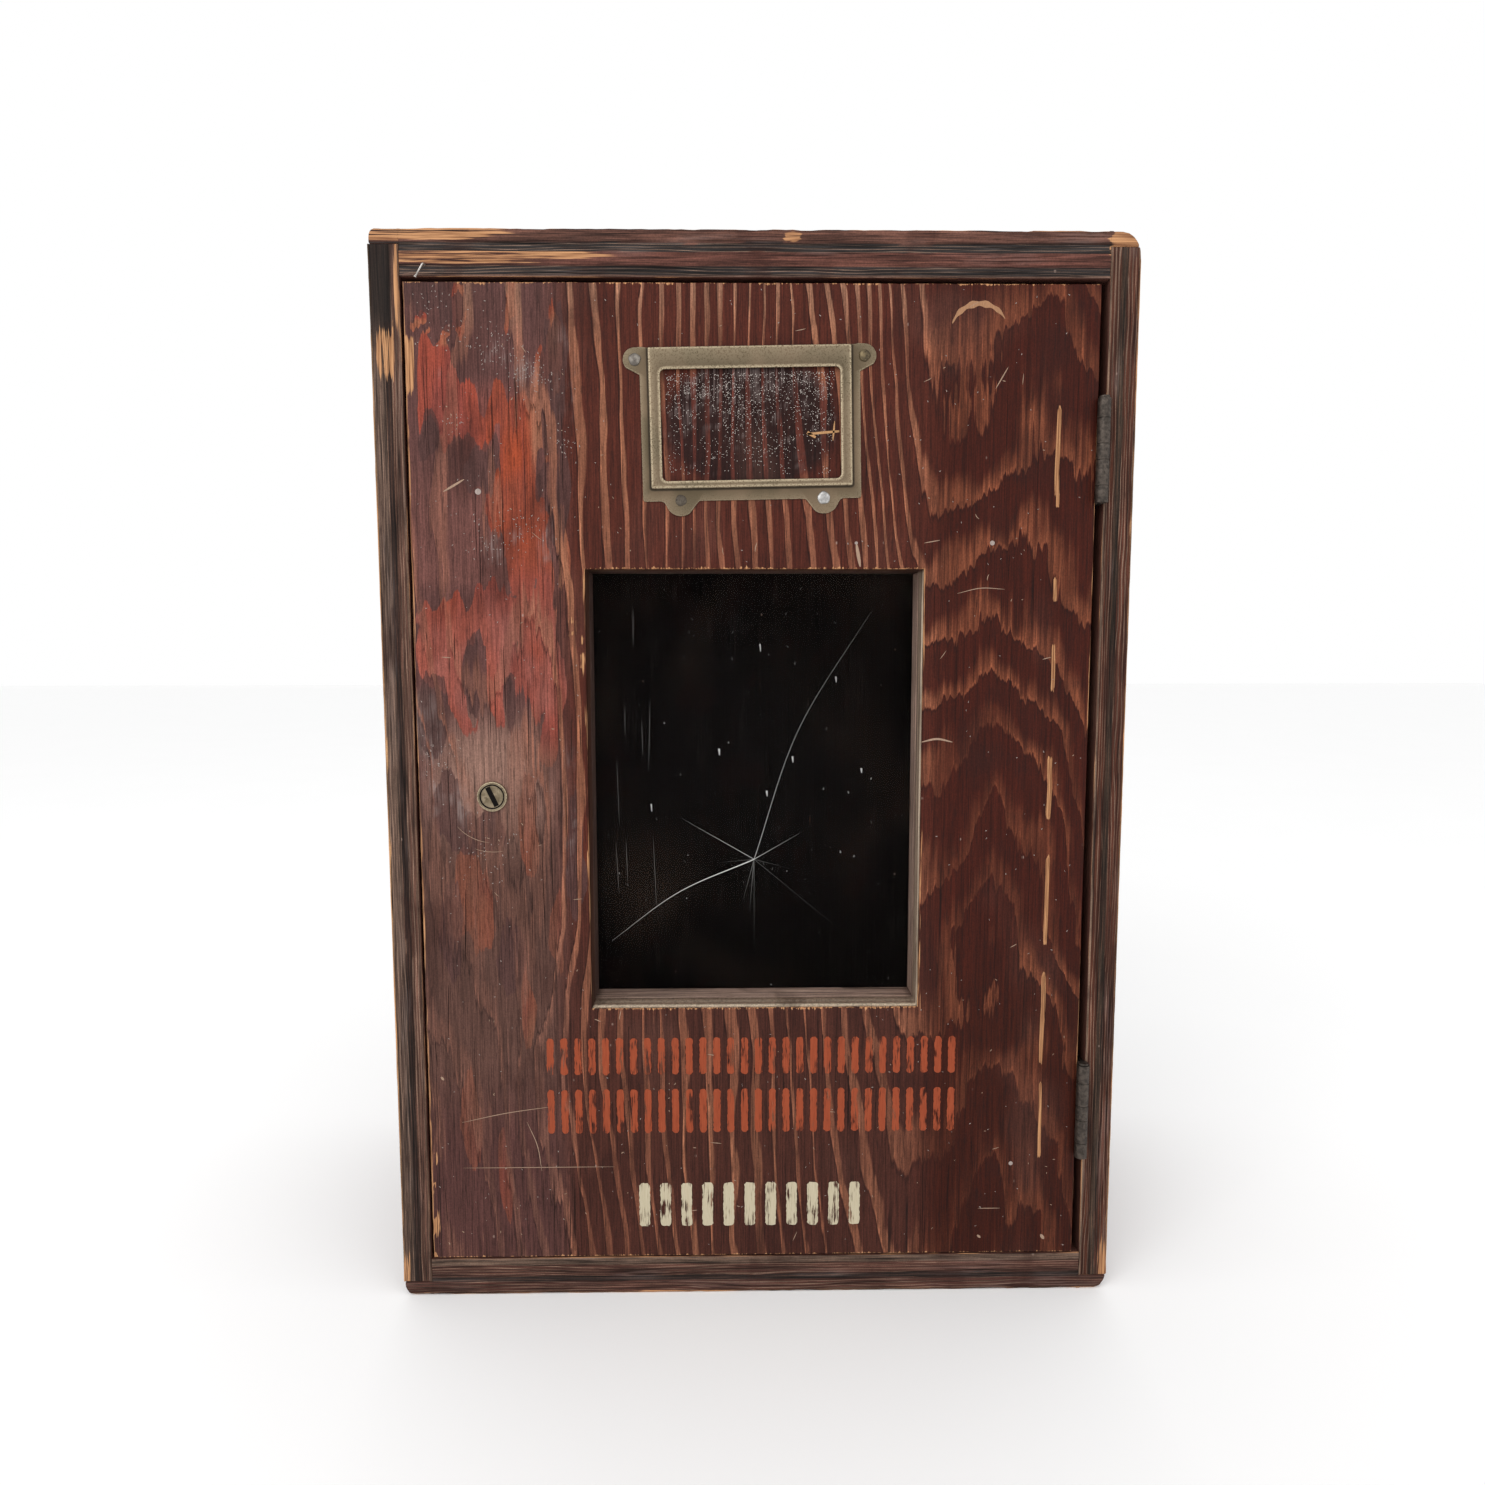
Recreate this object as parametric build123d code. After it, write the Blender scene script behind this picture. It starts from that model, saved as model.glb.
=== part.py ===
from build123d import *
import os
from math import cos, radians, sin

# A glazed wooden lock box: a plywood case with an inset door hung on the right.
# Millimetres. +X is to the right, +Z is up, the door faces -Y.
# The origin is at the middle of the whole box, on the surface that it stands on.

# Case
case_width = 473.0
case_height = 685.8
case_depth = 254.0
side_board = 19.05
top_board = 28.6
bottom_board = 25.4
tongue = 9.5
back_board = 6.35
back_rabbet = 9.5
corner_radius_top_left = 6.0
corner_radius_top_right = 14.0
corner_radius_bottom_left = 8.0
corner_radius_bottom_right = 10.0

# Door, inset flush with the front edges of the case
door_board = 19.05
gap_lock_side = 1.5
gap_hinge_side = 5.0
gap_top = 2.9
gap_bottom = 0.8

# Window in the door
window_width = 213.4
window_height = 283.8
window_centre_x = -1.2
window_bottom = 197.3
glass_thickness = 2.4
glass_overlap = 11.0
glass_play = 0.3
strip_width = 31.75
strip_depth = 19.05
rebate_depth = 2.6

# Stop strips behind the door
stop_width = 19.05
stop_thickness = 9.5
stop_clearance = 0.6

# Hinges
hinge_length = 63.5
hinge_bottoms = {"upper": 521.5, "lower": 95.0}
knuckle_lengths = [12.1, 15.6, 9.7, 15.7, 10.4]
knuckle_radius = 4.0
knuckle_gap = 0.25
leaf_thickness = 2.0
leaf_width = 19.5
leaf_swing_radius = 4.3
pin_radius = 2.0
pin_clearance = 0.06
pin_head_radius = 3.2
pin_head_height = 1.4
pin_forward = 3.5

# Cam lock
lock_x = -169.0
lock_z = 337.5
ring_radius = 9.6
ring_height = 1.6
shell_radius = 8.7
shell_length = 28.4
plug_radius = 7.2
plug_head_length = 5.0
plug_body_radius = 6.5
plug_clearance = 0.05
plug_recess = 0.4
slot_width = 2.6
slot_length = 13.4
slot_depth = 4.0
keyway_width = 2.2
keyway_length = 11.4
keyway_depth = 20.0
slot_tilt = 25.0
drive_size = 8.5
washer_gap = 0.3
stop_washer_thickness = 1.2
stop_washer_radius = 6.9
stop_tab_angle = 30.0
stop_slack_angle = 1.0
lock_turn_angle = 90.0
cam_gap = 0.1
cam_thickness = 3.0
cam_reach = 38.0
cam_width = 16.0
cam_tip_width = 11.0
cam_screw_head_radius = 5.5
cam_screw_head_height = 2.5
cam_screw_radius = 2.0
cam_screw_length = 10.0
lock_nut_across_flats = 25.4
lock_nut_height = 5.0
lock_washer_radius = 12.5
lock_washer_height = 1.2

# Card holder, pressed from brass sheet, nailed on slightly askew
holder_x = -3.6
holder_z = 573.9
holder_tilt = 1.1
holder_sheet = 0.9
holder_height = 2.9
holder_width = 125.4
holder_rise = 85.4
flange_width = 136.0
flange_below = 7.5
card_opening_width = 110.8
card_opening_height = 67.1
card_opening_above = 13.6
card_opening_corner = 3.0
top_ear_radius = 7.3
top_ear_x = 70.8
top_ear_z = 35.7
bottom_ear_radius = 9.6
bottom_ear_x = 44.5
bottom_ear_z = -49.8

# Fasteners: head radius, head height, shank radius, length under the face
case_nail = (2.2, 1.0, 1.3, 50.8)
back_nail = (2.6, 0.8, 0.9, 22.0)
stop_brad = (1.2, 0.8, 0.8, 30.0)
holder_nail = (3.7, 1.5, 1.1, 16.0)
hinge_screw = (3.4, 2.0, 1.6, 17.0)
strip_screw = (3.8, 2.4, 1.8, 30.0)
case_nail_rows = 4
back_nail_inset = back_rabbet / 2

# Bent nail in the top board, above the door's top left corner
bent_nail_radius = 0.55
bent_nail_head_radius = 0.9
bent_nail_head_height = 0.6
bent_nail_x = -202.0
bent_nail_above_door = 9.6
bent_nail_depth = 14.0
bent_nail_stand = 3.2
bent_nail_drop = 8.3
bent_nail_lean = 5.0
bent_nail_bend_radius = 1.5

# Planes and edges worked out from the sizes above
half_width = case_width / 2
inner_half = half_width - side_board
hinge_projection = pin_forward + knuckle_radius
front_y = (hinge_projection - case_depth) / 2
back_y = front_y + case_depth
door_back_y = front_y + door_board
door_left = -inner_half + gap_lock_side
door_right = inner_half - gap_hinge_side
inner_top = case_height - top_board
door_bottom = bottom_board + gap_bottom
door_top = inner_top - gap_top
window_left = window_centre_x - window_width / 2
window_right = window_centre_x + window_width / 2
window_top = window_bottom + window_height
strip_back_y = door_back_y + strip_depth
stop_front_y = door_back_y + stop_clearance
stop_back_y = stop_front_y + stop_thickness
pin_x = inner_half - gap_hinge_side / 2
pin_y = front_y - pin_forward
shell_end_y = front_y + shell_length
stop_washer_y = shell_end_y + washer_gap
cam_y = stop_washer_y + stop_washer_thickness + cam_gap
cam_back_y = cam_y + cam_thickness


def block(x0, x1, y0, y1, z0, z1):
    """A box between two opposite corners."""
    middle = Pos((x0 + x1) / 2, (y0 + y1) / 2, (z0 + z1) / 2)
    return middle * Box(x1 - x0, y1 - y0, z1 - z0)


def facing(x, y, z, outward):
    """A plane whose local Z points outward, out of a face."""
    return Plane(origin=(x, y, z), z_dir=outward)


def rod(place, radius, start, end):
    """A cylinder along the local Z of a plane, from start to end."""
    return place * Pos(0, 0, (start + end) / 2) * Cylinder(radius, end - start)


def sunk_nail(place, sizes):
    """A nail with a flat head set flush with the face."""
    head_radius, head_height, shank_radius, length = sizes
    shank = rod(place, shank_radius, -length, -head_height)
    return rod(place, head_radius, -head_height, 0) + shank


def sunk_screw(place, sizes):
    """A wood screw with its countersunk head flush with the face."""
    head_radius, head_height, shank_radius, length = sizes
    cone = place * Pos(0, 0, -head_height / 2) * Cone(shank_radius, head_radius, head_height)
    return cone + rod(place, shank_radius, -length, -head_height)


def domed_nail(place, sizes):
    """A nail with a low domed head standing on the face."""
    head_radius, head_height, shank_radius, length = sizes
    dome_radius = (head_radius ** 2 + head_height ** 2) / (2 * head_height)
    ball = place * Pos(0, 0, head_height - dome_radius) * Sphere(dome_radius)
    head = ball & rod(place, head_radius, 0, head_height)
    return head + rod(place, shank_radius, -length, 0)


def evenly(first, last, count):
    """Positions from first to last, evenly spaced."""
    step = (last - first) / (count - 1)
    return [first + step * number for number in range(count)]


def bore(board, fasteners):
    """A board with the holes that its fasteners fill."""
    for fastener in fasteners:
        board = board - fastener
    return board


def case_outline():
    """The case's outer shape, with its four worn corners rounded."""
    solid = block(-half_width, half_width, front_y, back_y, 0, case_height)
    corners = [
        (-half_width, case_height, corner_radius_top_left),
        (half_width, case_height, corner_radius_top_right),
        (-half_width, 0, corner_radius_bottom_left),
        (half_width, 0, corner_radius_bottom_right),
    ]
    for x, z, radius in corners:
        edge = solid.edges().filter_by(Axis.Y).sort_by_distance((x, 0, z))[0]
        solid = fillet(edge, radius)
    return solid


def back_space():
    """The space that the back board fills in the rabbets of the case."""
    reach = inner_half + back_rabbet
    low = bottom_board - back_rabbet
    high = inner_top + back_rabbet
    return block(-reach, reach, back_y - back_board, back_y, low, high)


def side_panel(side, outline):
    """A side board, whose ends stop under the tongues of the top and bottom boards."""
    x0, x1 = sorted((side * inner_half, side * half_width))
    board = block(x0, x1, front_y, back_y, tongue, case_height - tongue)
    return (board & outline) - back_space()


def end_panel(top, outline):
    """The top or bottom board: full thickness inside, a tongue over each side board."""
    outer = case_height if top else 0
    inner = inner_top if top else bottom_board
    step = case_height - tongue if top else tongue
    low, high = sorted((outer, inner))
    thick = block(-inner_half, inner_half, front_y, back_y, low, high)
    low, high = sorted((outer, step))
    thin = block(-half_width, half_width, front_y, back_y, low, high)
    return ((thick + thin) & outline) - back_space()


def make_case_nails():
    """Nails through the side boards into the ends of the top and bottom boards."""
    heights = [(bottom_board + tongue) / 2, (inner_top + case_height - tongue) / 2]
    margin = case_depth / (2 * case_nail_rows)
    rows = evenly(front_y + margin, back_y - margin, case_nail_rows)
    nails = []
    for side in (-1, 1):
        for height in heights:
            for y in rows:
                place = facing(side * half_width, y, height, (side, 0, 0))
                nails.append(sunk_nail(place, case_nail))
    return nails


def make_back_nails():
    """Nails through the edge of the back board into the rabbets."""
    reach = inner_half + back_nail_inset
    low = bottom_board - back_nail_inset
    high = inner_top + back_nail_inset
    spots = [(side * reach, z) for side in (-1, 1) for z in evenly(low + 40, high - 40, 6)]
    spots += [(x, z) for z in (low, high) for x in evenly(-reach + 40, reach - 40, 5)]
    return [sunk_nail(facing(x, back_y, z, (0, 1, 0)), back_nail) for x, z in spots]


def stop_strip(name):
    """One of the three strips that the closed door rests against."""
    low = bottom_board
    high = inner_top
    inner_edge = -inner_half + stop_width
    spans = {
        "lock_side": (-inner_half, inner_edge, low, high),
        "top": (inner_edge, inner_half, high - stop_width, high),
        "bottom": (inner_edge, inner_half, low, low + stop_width),
    }
    x0, x1, z0, z1 = spans[name]
    return block(x0, x1, stop_front_y, stop_back_y, z0, z1)


def make_stop_brads():
    """Brads through the stop strips into the case boards behind them."""
    y = (stop_front_y + stop_back_y) / 2
    inner_edge = -inner_half + stop_width
    brads = []
    for z in evenly(bottom_board + 60, inner_top - 60, 5):
        brads.append(sunk_nail(facing(inner_edge, y, z, (1, 0, 0)), stop_brad))
    for x in evenly(inner_edge + 40, inner_half - 40, 4):
        brads.append(sunk_nail(facing(x, y, inner_top - stop_width, (0, 0, -1)), stop_brad))
        brads.append(sunk_nail(facing(x, y, bottom_board + stop_width, (0, 0, 1)), stop_brad))
    return brads


def knuckle_spans(bottom):
    """Lower and upper end of each knuckle, from the top one down."""
    spans = []
    top = bottom + hinge_length
    for length in knuckle_lengths:
        spans.append((top - length + knuckle_gap / 2, top - knuckle_gap / 2))
        top -= length
    return spans


def hinge_leaf(bottom, on_case, screws):
    """A leaf of a butt hinge with its own knuckles, notched round the other leaf's."""
    spans = knuckle_spans(bottom)
    own = spans[0::2] if on_case else spans[1::2]
    other = spans[1::2] if on_case else spans[0::2]
    outer_x = inner_half if on_case else door_right
    inner_x = outer_x - leaf_thickness if on_case else outer_x + leaf_thickness
    x0, x1 = sorted((outer_x, inner_x))
    leaf = block(x0, x1, pin_y, pin_y + leaf_width, bottom, bottom + hinge_length)
    axis = Plane(origin=(pin_x, pin_y, 0))
    for low, high in other:
        leaf = leaf - rod(axis, leaf_swing_radius, low - knuckle_gap, high + knuckle_gap)
    for low, high in own:
        leaf = leaf + rod(axis, knuckle_radius, low, high)
    hole_radius = pin_radius if on_case else pin_radius + pin_clearance
    leaf = leaf - rod(axis, hole_radius, bottom - 1, bottom + hinge_length + 1)
    return bore(leaf, screws)


def hinge_pin(bottom):
    """A hinge pin with a button head on the top knuckle."""
    axis = Plane(origin=(pin_x, pin_y, 0))
    top = bottom + hinge_length
    return rod(axis, pin_radius, bottom, top) + rod(axis, pin_head_radius, top, top + pin_head_height)


def make_hinge_screws(bottom, on_case):
    """Three screws through one leaf."""
    x = inner_half - leaf_thickness if on_case else door_right + leaf_thickness
    outward = (-1, 0, 0) if on_case else (1, 0, 0)
    margin = hinge_length / 6
    heights = evenly(bottom + margin, bottom + hinge_length - margin, 3)
    y = front_y + door_board / 2
    return [sunk_screw(facing(x, y, z, outward), hinge_screw) for z in heights]


def glass_pocket():
    """The space that the glazing strips leave for the glass behind the door."""
    reach = glass_overlap
    return block(
        window_left - reach, window_right + reach,
        door_back_y, door_back_y + rebate_depth,
        window_bottom - reach, window_top + reach,
    )


def window_glass():
    """The pane, a little smaller than its pocket."""
    reach = glass_overlap - glass_play
    return block(
        window_left - reach, window_right + reach,
        door_back_y, door_back_y + glass_thickness,
        window_bottom - reach, window_top + reach,
    )


def glazing_strip(name, screws):
    """One of the four strips, rebated for the glass and screwed to the door."""
    left = window_left - strip_width
    right = window_right + strip_width
    spans = {
        "top": (left, right, window_top, window_top + strip_width),
        "bottom": (left, right, window_bottom - strip_width, window_bottom),
        "left": (left, window_left, window_bottom, window_top),
        "right": (window_right, right, window_bottom, window_top),
    }
    x0, x1, z0, z1 = spans[name]
    strip = block(x0, x1, door_back_y, strip_back_y, z0, z1)
    return bore(strip - glass_pocket(), screws)


def make_strip_screws():
    """Screws through the glazing strips into the door."""
    outside = (glass_overlap + strip_width) / 2
    rows = evenly(window_bottom + 40, window_top - 40, 3)
    columns = evenly(window_left - outside, window_right + outside, 3)
    spots = [(x, z) for z in rows for x in (columns[0], columns[-1])]
    spots += [(x, z) for z in (window_bottom - outside, window_top + outside) for x in columns]
    return [sunk_screw(facing(x, strip_back_y, z, (0, 1, 0)), strip_screw) for x, z in spots]


def lock_plane(y):
    """A plane at the lock whose local Z points into the case and local Y down."""
    return Plane(origin=(lock_x, y, lock_z), x_dir=(1, 0, 0), z_dir=(0, 1, 0))


def lock_rod(radius, start_y, end_y):
    """A cylinder on the axis of the lock."""
    return rod(lock_plane(0), radius, start_y, end_y)


def lock_sector(inner, outer, start_y, end_y, first_angle, angle):
    """A ring sector round the lock; angles run from the right side downwards."""
    height = end_y - start_y
    centred = (None, None, Align.CENTER)
    wedge = Cylinder(outer, height, arc_size=angle, align=centred) - Cylinder(inner, height)
    return lock_plane((start_y + end_y) / 2) * Rot(0, 0, first_angle) * wedge


def door_panel(fasteners):
    """The door board with its window, its lock hole and the fasteners' holes."""
    board = block(door_left, door_right, front_y, door_back_y, door_bottom, door_top)
    cut = block(window_left, window_right, front_y, door_back_y, window_bottom, window_top)
    board = board - cut
    board = board - lock_rod(shell_radius + plug_clearance, front_y, door_back_y)
    return bore(board, fasteners)


def lock_shell():
    """The fixed barrel of the lock, with its ring in front and a stop rib behind."""
    rib_first = 90 + stop_tab_angle / 2 + lock_turn_angle + stop_slack_angle
    rib_angle = 360 - stop_tab_angle - lock_turn_angle - 2 * stop_slack_angle
    ring = lock_rod(ring_radius, front_y - ring_height, front_y)
    ring = chamfer(ring.edges().group_by(Axis.Y)[0], ring_height / 3)
    barrel = lock_rod(shell_radius, front_y, shell_end_y)
    rib_inner = stop_washer_radius + plug_clearance
    rib_end = stop_washer_y + stop_washer_thickness
    rib = lock_sector(rib_inner, shell_radius, shell_end_y, rib_end, rib_first, rib_angle)
    head_bore = lock_rod(plug_radius + plug_clearance, front_y - ring_height, front_y + plug_head_length)
    body_bore = lock_rod(plug_body_radius + plug_clearance, front_y, shell_end_y)
    return ring + barrel + rib - head_bore - body_bore


def lock_plug(screw):
    """The turning plug: slotted head, thinner body and a square drive for the cam."""
    face_y = front_y - ring_height + plug_recess
    shoulder_y = front_y + plug_head_length - plug_clearance
    body_end_y = shell_end_y + washer_gap / 2
    head = lock_rod(plug_radius, face_y, shoulder_y)
    body = lock_rod(plug_body_radius, shoulder_y, body_end_y)
    drive_length = cam_back_y - body_end_y
    drive = lock_plane(body_end_y + drive_length / 2) * Box(drive_size, drive_size, drive_length)
    turned = Rot(0, 0, -90 - slot_tilt)
    slot = turned * Box(slot_length, slot_width, slot_depth)
    slot = lock_plane(face_y + slot_depth / 2) * slot
    keyway = turned * Box(keyway_length, keyway_width, keyway_depth)
    keyway = lock_plane(face_y + keyway_depth / 2) * keyway
    return head + body + drive - slot - keyway - screw


def drive_hole(start_y, end_y):
    """The square hole that fits on the plug's drive."""
    length = end_y - start_y
    return lock_plane((start_y + end_y) / 2) * Box(drive_size, drive_size, length)


def lock_stop_washer():
    """A washer on the drive whose tab meets the rib at both ends of the turn."""
    end_y = stop_washer_y + stop_washer_thickness
    disc = lock_rod(stop_washer_radius, stop_washer_y, end_y)
    first = 90 - stop_tab_angle / 2
    overlap = 1.0
    inner = stop_washer_radius - overlap
    tab = lock_sector(inner, shell_radius, stop_washer_y, end_y, first, stop_tab_angle)
    return disc + tab - drive_hole(stop_washer_y, end_y)


def lock_cam():
    """The cam, pointing down when unlocked, tapered to a rounded tip."""
    tip_radius = cam_tip_width / 2
    tip = Pos(0, cam_reach - tip_radius) * Circle(tip_radius)
    sketch = make_hull((Circle(cam_width / 2) + tip).edges())
    plate = lock_plane(cam_y) * extrude(sketch, cam_thickness)
    return plate - drive_hole(cam_y, cam_back_y)


def lock_cam_screw():
    """The screw that holds the cam on the drive."""
    head = lock_rod(cam_screw_head_radius, cam_back_y, cam_back_y + cam_screw_head_height)
    return head + lock_rod(cam_screw_radius, cam_back_y - cam_screw_length, cam_back_y)


def lock_washer():
    """The washer between the door's back and the nut."""
    end_y = door_back_y + lock_washer_height
    return lock_rod(lock_washer_radius, door_back_y, end_y) - lock_rod(shell_radius, door_back_y, end_y)


def lock_nut():
    """The hexagon nut on the barrel."""
    start_y = door_back_y + lock_washer_height
    end_y = start_y + lock_nut_height
    hexagon = RegularPolygon(lock_nut_across_flats / 2, 6, major_radius=False)
    nut = lock_plane(start_y) * extrude(hexagon, lock_nut_height)
    return nut - lock_rod(shell_radius, start_y, end_y)


def holder_plane():
    """The plane of the card holder on the door: local Z points out of the door."""
    tilt = radians(holder_tilt)
    across = (cos(tilt), 0, sin(tilt))
    return Plane(origin=(holder_x, front_y, holder_z), x_dir=across, z_dir=(0, -1, 0))


def holder_ears():
    """Centre and radius of each nailing ear, in the holder's plane."""
    ears = []
    for side in (-1, 1):
        ears.append((side * top_ear_x, top_ear_z, top_ear_radius))
        ears.append((side * bottom_ear_x, bottom_ear_z, bottom_ear_radius))
    return ears


def make_holder_nails():
    """The four nails of the card holder."""
    nails = []
    for x, z, _ in holder_ears():
        nails.append(domed_nail(holder_plane() * Plane(origin=(x, z, holder_sheet)), holder_nail))
    return nails


def card_holder(nails):
    """A pressed brass frame: flat flange with ears, raised rim, pocket open at the top."""
    half_rise = holder_rise / 2
    flange_height = holder_rise + flange_below
    flange = Pos(0, -flange_below / 2) * Rectangle(flange_width, flange_height)
    for x, z, radius in holder_ears():
        flange = flange + Pos(x, z) * Circle(radius)
    sheet = extrude(flange, holder_sheet)
    rim = extrude(Rectangle(holder_width, holder_rise), holder_height)
    pocket_width = holder_width - 2 * holder_sheet
    pocket = Pos(0, holder_sheet) * Rectangle(pocket_width, holder_rise)
    pocket = extrude(pocket, holder_height - holder_sheet)
    opening_z = half_rise - card_opening_above - card_opening_height / 2
    window = RectangleRounded(card_opening_width, card_opening_height, card_opening_corner)
    opening = extrude(Pos(0, opening_z) * window, holder_height)
    return bore(holder_plane() * (sheet + rim - pocket - opening), nails)


def bent_nail():
    """A thin nail driven into the top board and bent down, clear of the door below."""
    z = door_top + bent_nail_above_door
    start = Vector(bent_nail_x, front_y + bent_nail_depth, z)
    bend = Vector(bent_nail_x, front_y - bent_nail_stand, z)
    end = bend + Vector(-bent_nail_lean, 0, -bent_nail_drop)
    path = FilletPolyline(start, bend, end, radius=bent_nail_bend_radius)
    shank = sweep(Plane(origin=start, z_dir=(0, -1, 0)) * Circle(bent_nail_radius), path)
    tip = Plane(origin=end, z_dir=end - bend)
    return shank + rod(tip, bent_nail_head_radius, -bent_nail_head_height, 0)


def group(solids):
    """Identical fasteners as separate solids in one node."""
    return Compound(children=[item.solids()[0] for item in solids])


def build_case():
    """The nodes that stay with the case."""
    outline = case_outline()
    case_nails = make_case_nails()
    back_nails = make_back_nails()
    stop_brads = make_stop_brads()
    nail = bent_nail()
    hinge_screws = []
    nodes = {}
    for level, bottom in hinge_bottoms.items():
        screws = make_hinge_screws(bottom, True)
        nodes[level + "_hinge_case_leaf"] = hinge_leaf(bottom, True, screws)
        nodes[level + "_hinge_pin"] = hinge_pin(bottom)
        hinge_screws += screws
    fasteners = case_nails + back_nails + stop_brads
    nodes["left_side_panel"] = bore(side_panel(-1, outline), fasteners)
    nodes["right_side_panel"] = bore(side_panel(1, outline), fasteners + hinge_screws)
    nodes["top_panel"] = bore(end_panel(True, outline), fasteners + [nail])
    nodes["bottom_panel"] = bore(end_panel(False, outline), fasteners)
    nodes["back_panel"] = bore(back_space(), back_nails)
    for name in ("lock_side", "top", "bottom"):
        nodes[name + "_stop"] = bore(stop_strip(name), stop_brads)
    nodes["case_nails"] = group(case_nails)
    nodes["back_panel_nails"] = group(back_nails)
    nodes["stop_brads"] = group(stop_brads)
    nodes["case_hinge_screws"] = group(hinge_screws)
    nodes["bent_nail"] = nail
    return nodes


def build_door():
    """The nodes that swing with the door."""
    strip_screws = make_strip_screws()
    holder_nails = make_holder_nails()
    hinge_screws = []
    nodes = {}
    for level, bottom in hinge_bottoms.items():
        screws = make_hinge_screws(bottom, False)
        nodes[level + "_hinge_door_leaf"] = hinge_leaf(bottom, False, screws)
        hinge_screws += screws
    fasteners = strip_screws + holder_nails + hinge_screws
    nodes["door_panel"] = door_panel(fasteners)
    nodes["window_glass"] = window_glass()
    for name in ("top", "bottom", "left", "right"):
        nodes["glazing_strip_" + name] = glazing_strip(name, strip_screws)
    nodes["glazing_strip_screws"] = group(strip_screws)
    nodes["card_holder"] = card_holder(holder_nails)
    nodes["card_holder_nails"] = group(holder_nails)
    nodes["door_hinge_screws"] = group(hinge_screws)
    nodes["lock_shell"] = lock_shell()
    nodes["lock_washer"] = lock_washer()
    nodes["lock_nut"] = lock_nut()
    return nodes


def build_lock_plug():
    """The nodes that turn with the plug of the lock."""
    screw = lock_cam_screw()
    return {
        "lock_plug": lock_plug(screw),
        "lock_stop_washer": lock_stop_washer(),
        "lock_cam": lock_cam(),
        "lock_cam_screw": screw,
    }


def main():
    """Write one STEP file for each node."""
    os.makedirs("parts", exist_ok=True)
    nodes = {**build_case(), **build_door(), **build_lock_plug()}
    for name, shape in nodes.items():
        export_step(shape, "parts/" + name + ".step")
    print(len(nodes), "nodes")


main()
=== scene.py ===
"""Looks for a weathered, red-stained plywood lock box with a glazed door.

Pieces are built in millimetres in the frame's own axes and turned into metres
when their meshes are made. Grain, wear and plies are fields that are worked out
for each vertex and sharpened in the materials by fibre noise.
"""

import math

import bpy
import numpy as np
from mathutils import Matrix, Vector


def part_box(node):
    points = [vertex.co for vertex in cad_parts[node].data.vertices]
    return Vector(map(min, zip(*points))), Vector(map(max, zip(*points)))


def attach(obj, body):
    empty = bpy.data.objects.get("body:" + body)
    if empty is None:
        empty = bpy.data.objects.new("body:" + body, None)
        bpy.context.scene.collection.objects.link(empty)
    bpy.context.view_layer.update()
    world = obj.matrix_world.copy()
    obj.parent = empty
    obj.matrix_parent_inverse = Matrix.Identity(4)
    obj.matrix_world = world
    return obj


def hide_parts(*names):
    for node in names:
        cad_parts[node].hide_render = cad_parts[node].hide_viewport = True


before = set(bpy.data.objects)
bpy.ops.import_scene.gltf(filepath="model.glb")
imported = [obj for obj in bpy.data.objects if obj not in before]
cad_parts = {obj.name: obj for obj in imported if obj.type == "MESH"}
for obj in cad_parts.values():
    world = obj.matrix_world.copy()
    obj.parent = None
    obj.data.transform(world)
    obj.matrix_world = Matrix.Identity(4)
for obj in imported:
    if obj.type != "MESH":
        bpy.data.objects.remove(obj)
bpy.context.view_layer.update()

MM = 0.001
RNG = np.random.default_rng(11)
TABLES = [np.random.default_rng(100 + i).uniform(-1, 1, (256, 256)) for i in range(16)]


def box_mm(node):
    """Lowest and highest corner of a CAD node in millimetres."""
    low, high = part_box(node)
    return np.array(low) / MM, np.array(high) / MM


DOOR_LOW, DOOR_HIGH = box_mm("door_panel")
GLASS_LOW, GLASS_HIGH = box_mm("window_glass")
CASE_LOW, CASE_HIGH = box_mm("top_panel")
LEFT_LOW, LEFT_HIGH = box_mm("left_side_panel")
RIGHT_LOW, RIGHT_HIGH = box_mm("right_side_panel")
SOLE_LOW, SOLE_HIGH = box_mm("bottom_panel")
FRONT = DOOR_LOW[1]
STRIP_BOX = {side: box_mm("glazing_strip_" + side) for side in ("top", "bottom", "left", "right")}
WINDOW_LEFT = STRIP_BOX["left"][1][0]
WINDOW_RIGHT = STRIP_BOX["right"][0][0]
WINDOW_BOTTOM = STRIP_BOX["bottom"][1][2]
WINDOW_TOP = STRIP_BOX["top"][0][2]
PLUG_LOW, PLUG_HIGH = box_mm("lock_plug")
LOCK_X = (PLUG_LOW[0] + PLUG_HIGH[0]) / 2
LOCK_Z = (PLUG_LOW[2] + PLUG_HIGH[2]) / 2
CASE_BASE = SOLE_LOW[2]
CASE_TOP = CASE_HIGH[2]

# Each ear of the card holder: across and up from the holder's middle, and its radius
EARS = ((-70.8, 35.7, 7.3), (70.8, 35.7, 7.3), (-44.5, -49.8, 9.6), (44.5, -49.8, 9.6))
HOLDER_TILT = math.radians(1.1)
HOLDER_LOW, HOLDER_HIGH = box_mm("card_holder")
EAR_ACROSS, EAR_UP, EAR_RADIUS = EARS[1]  # the ear that reaches furthest right and up
HOLDER_X = (HOLDER_LOW[0] + HOLDER_HIGH[0]) / 2 + EAR_UP * math.sin(HOLDER_TILT)
EAR_TOP = EAR_ACROSS * math.sin(HOLDER_TILT) + EAR_UP * math.cos(HOLDER_TILT) + EAR_RADIUS
HOLDER_Z = HOLDER_HIGH[2] - EAR_TOP
OPENING_UP = -4.45  # the middle of the holder's opening, up from the holder's middle

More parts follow.
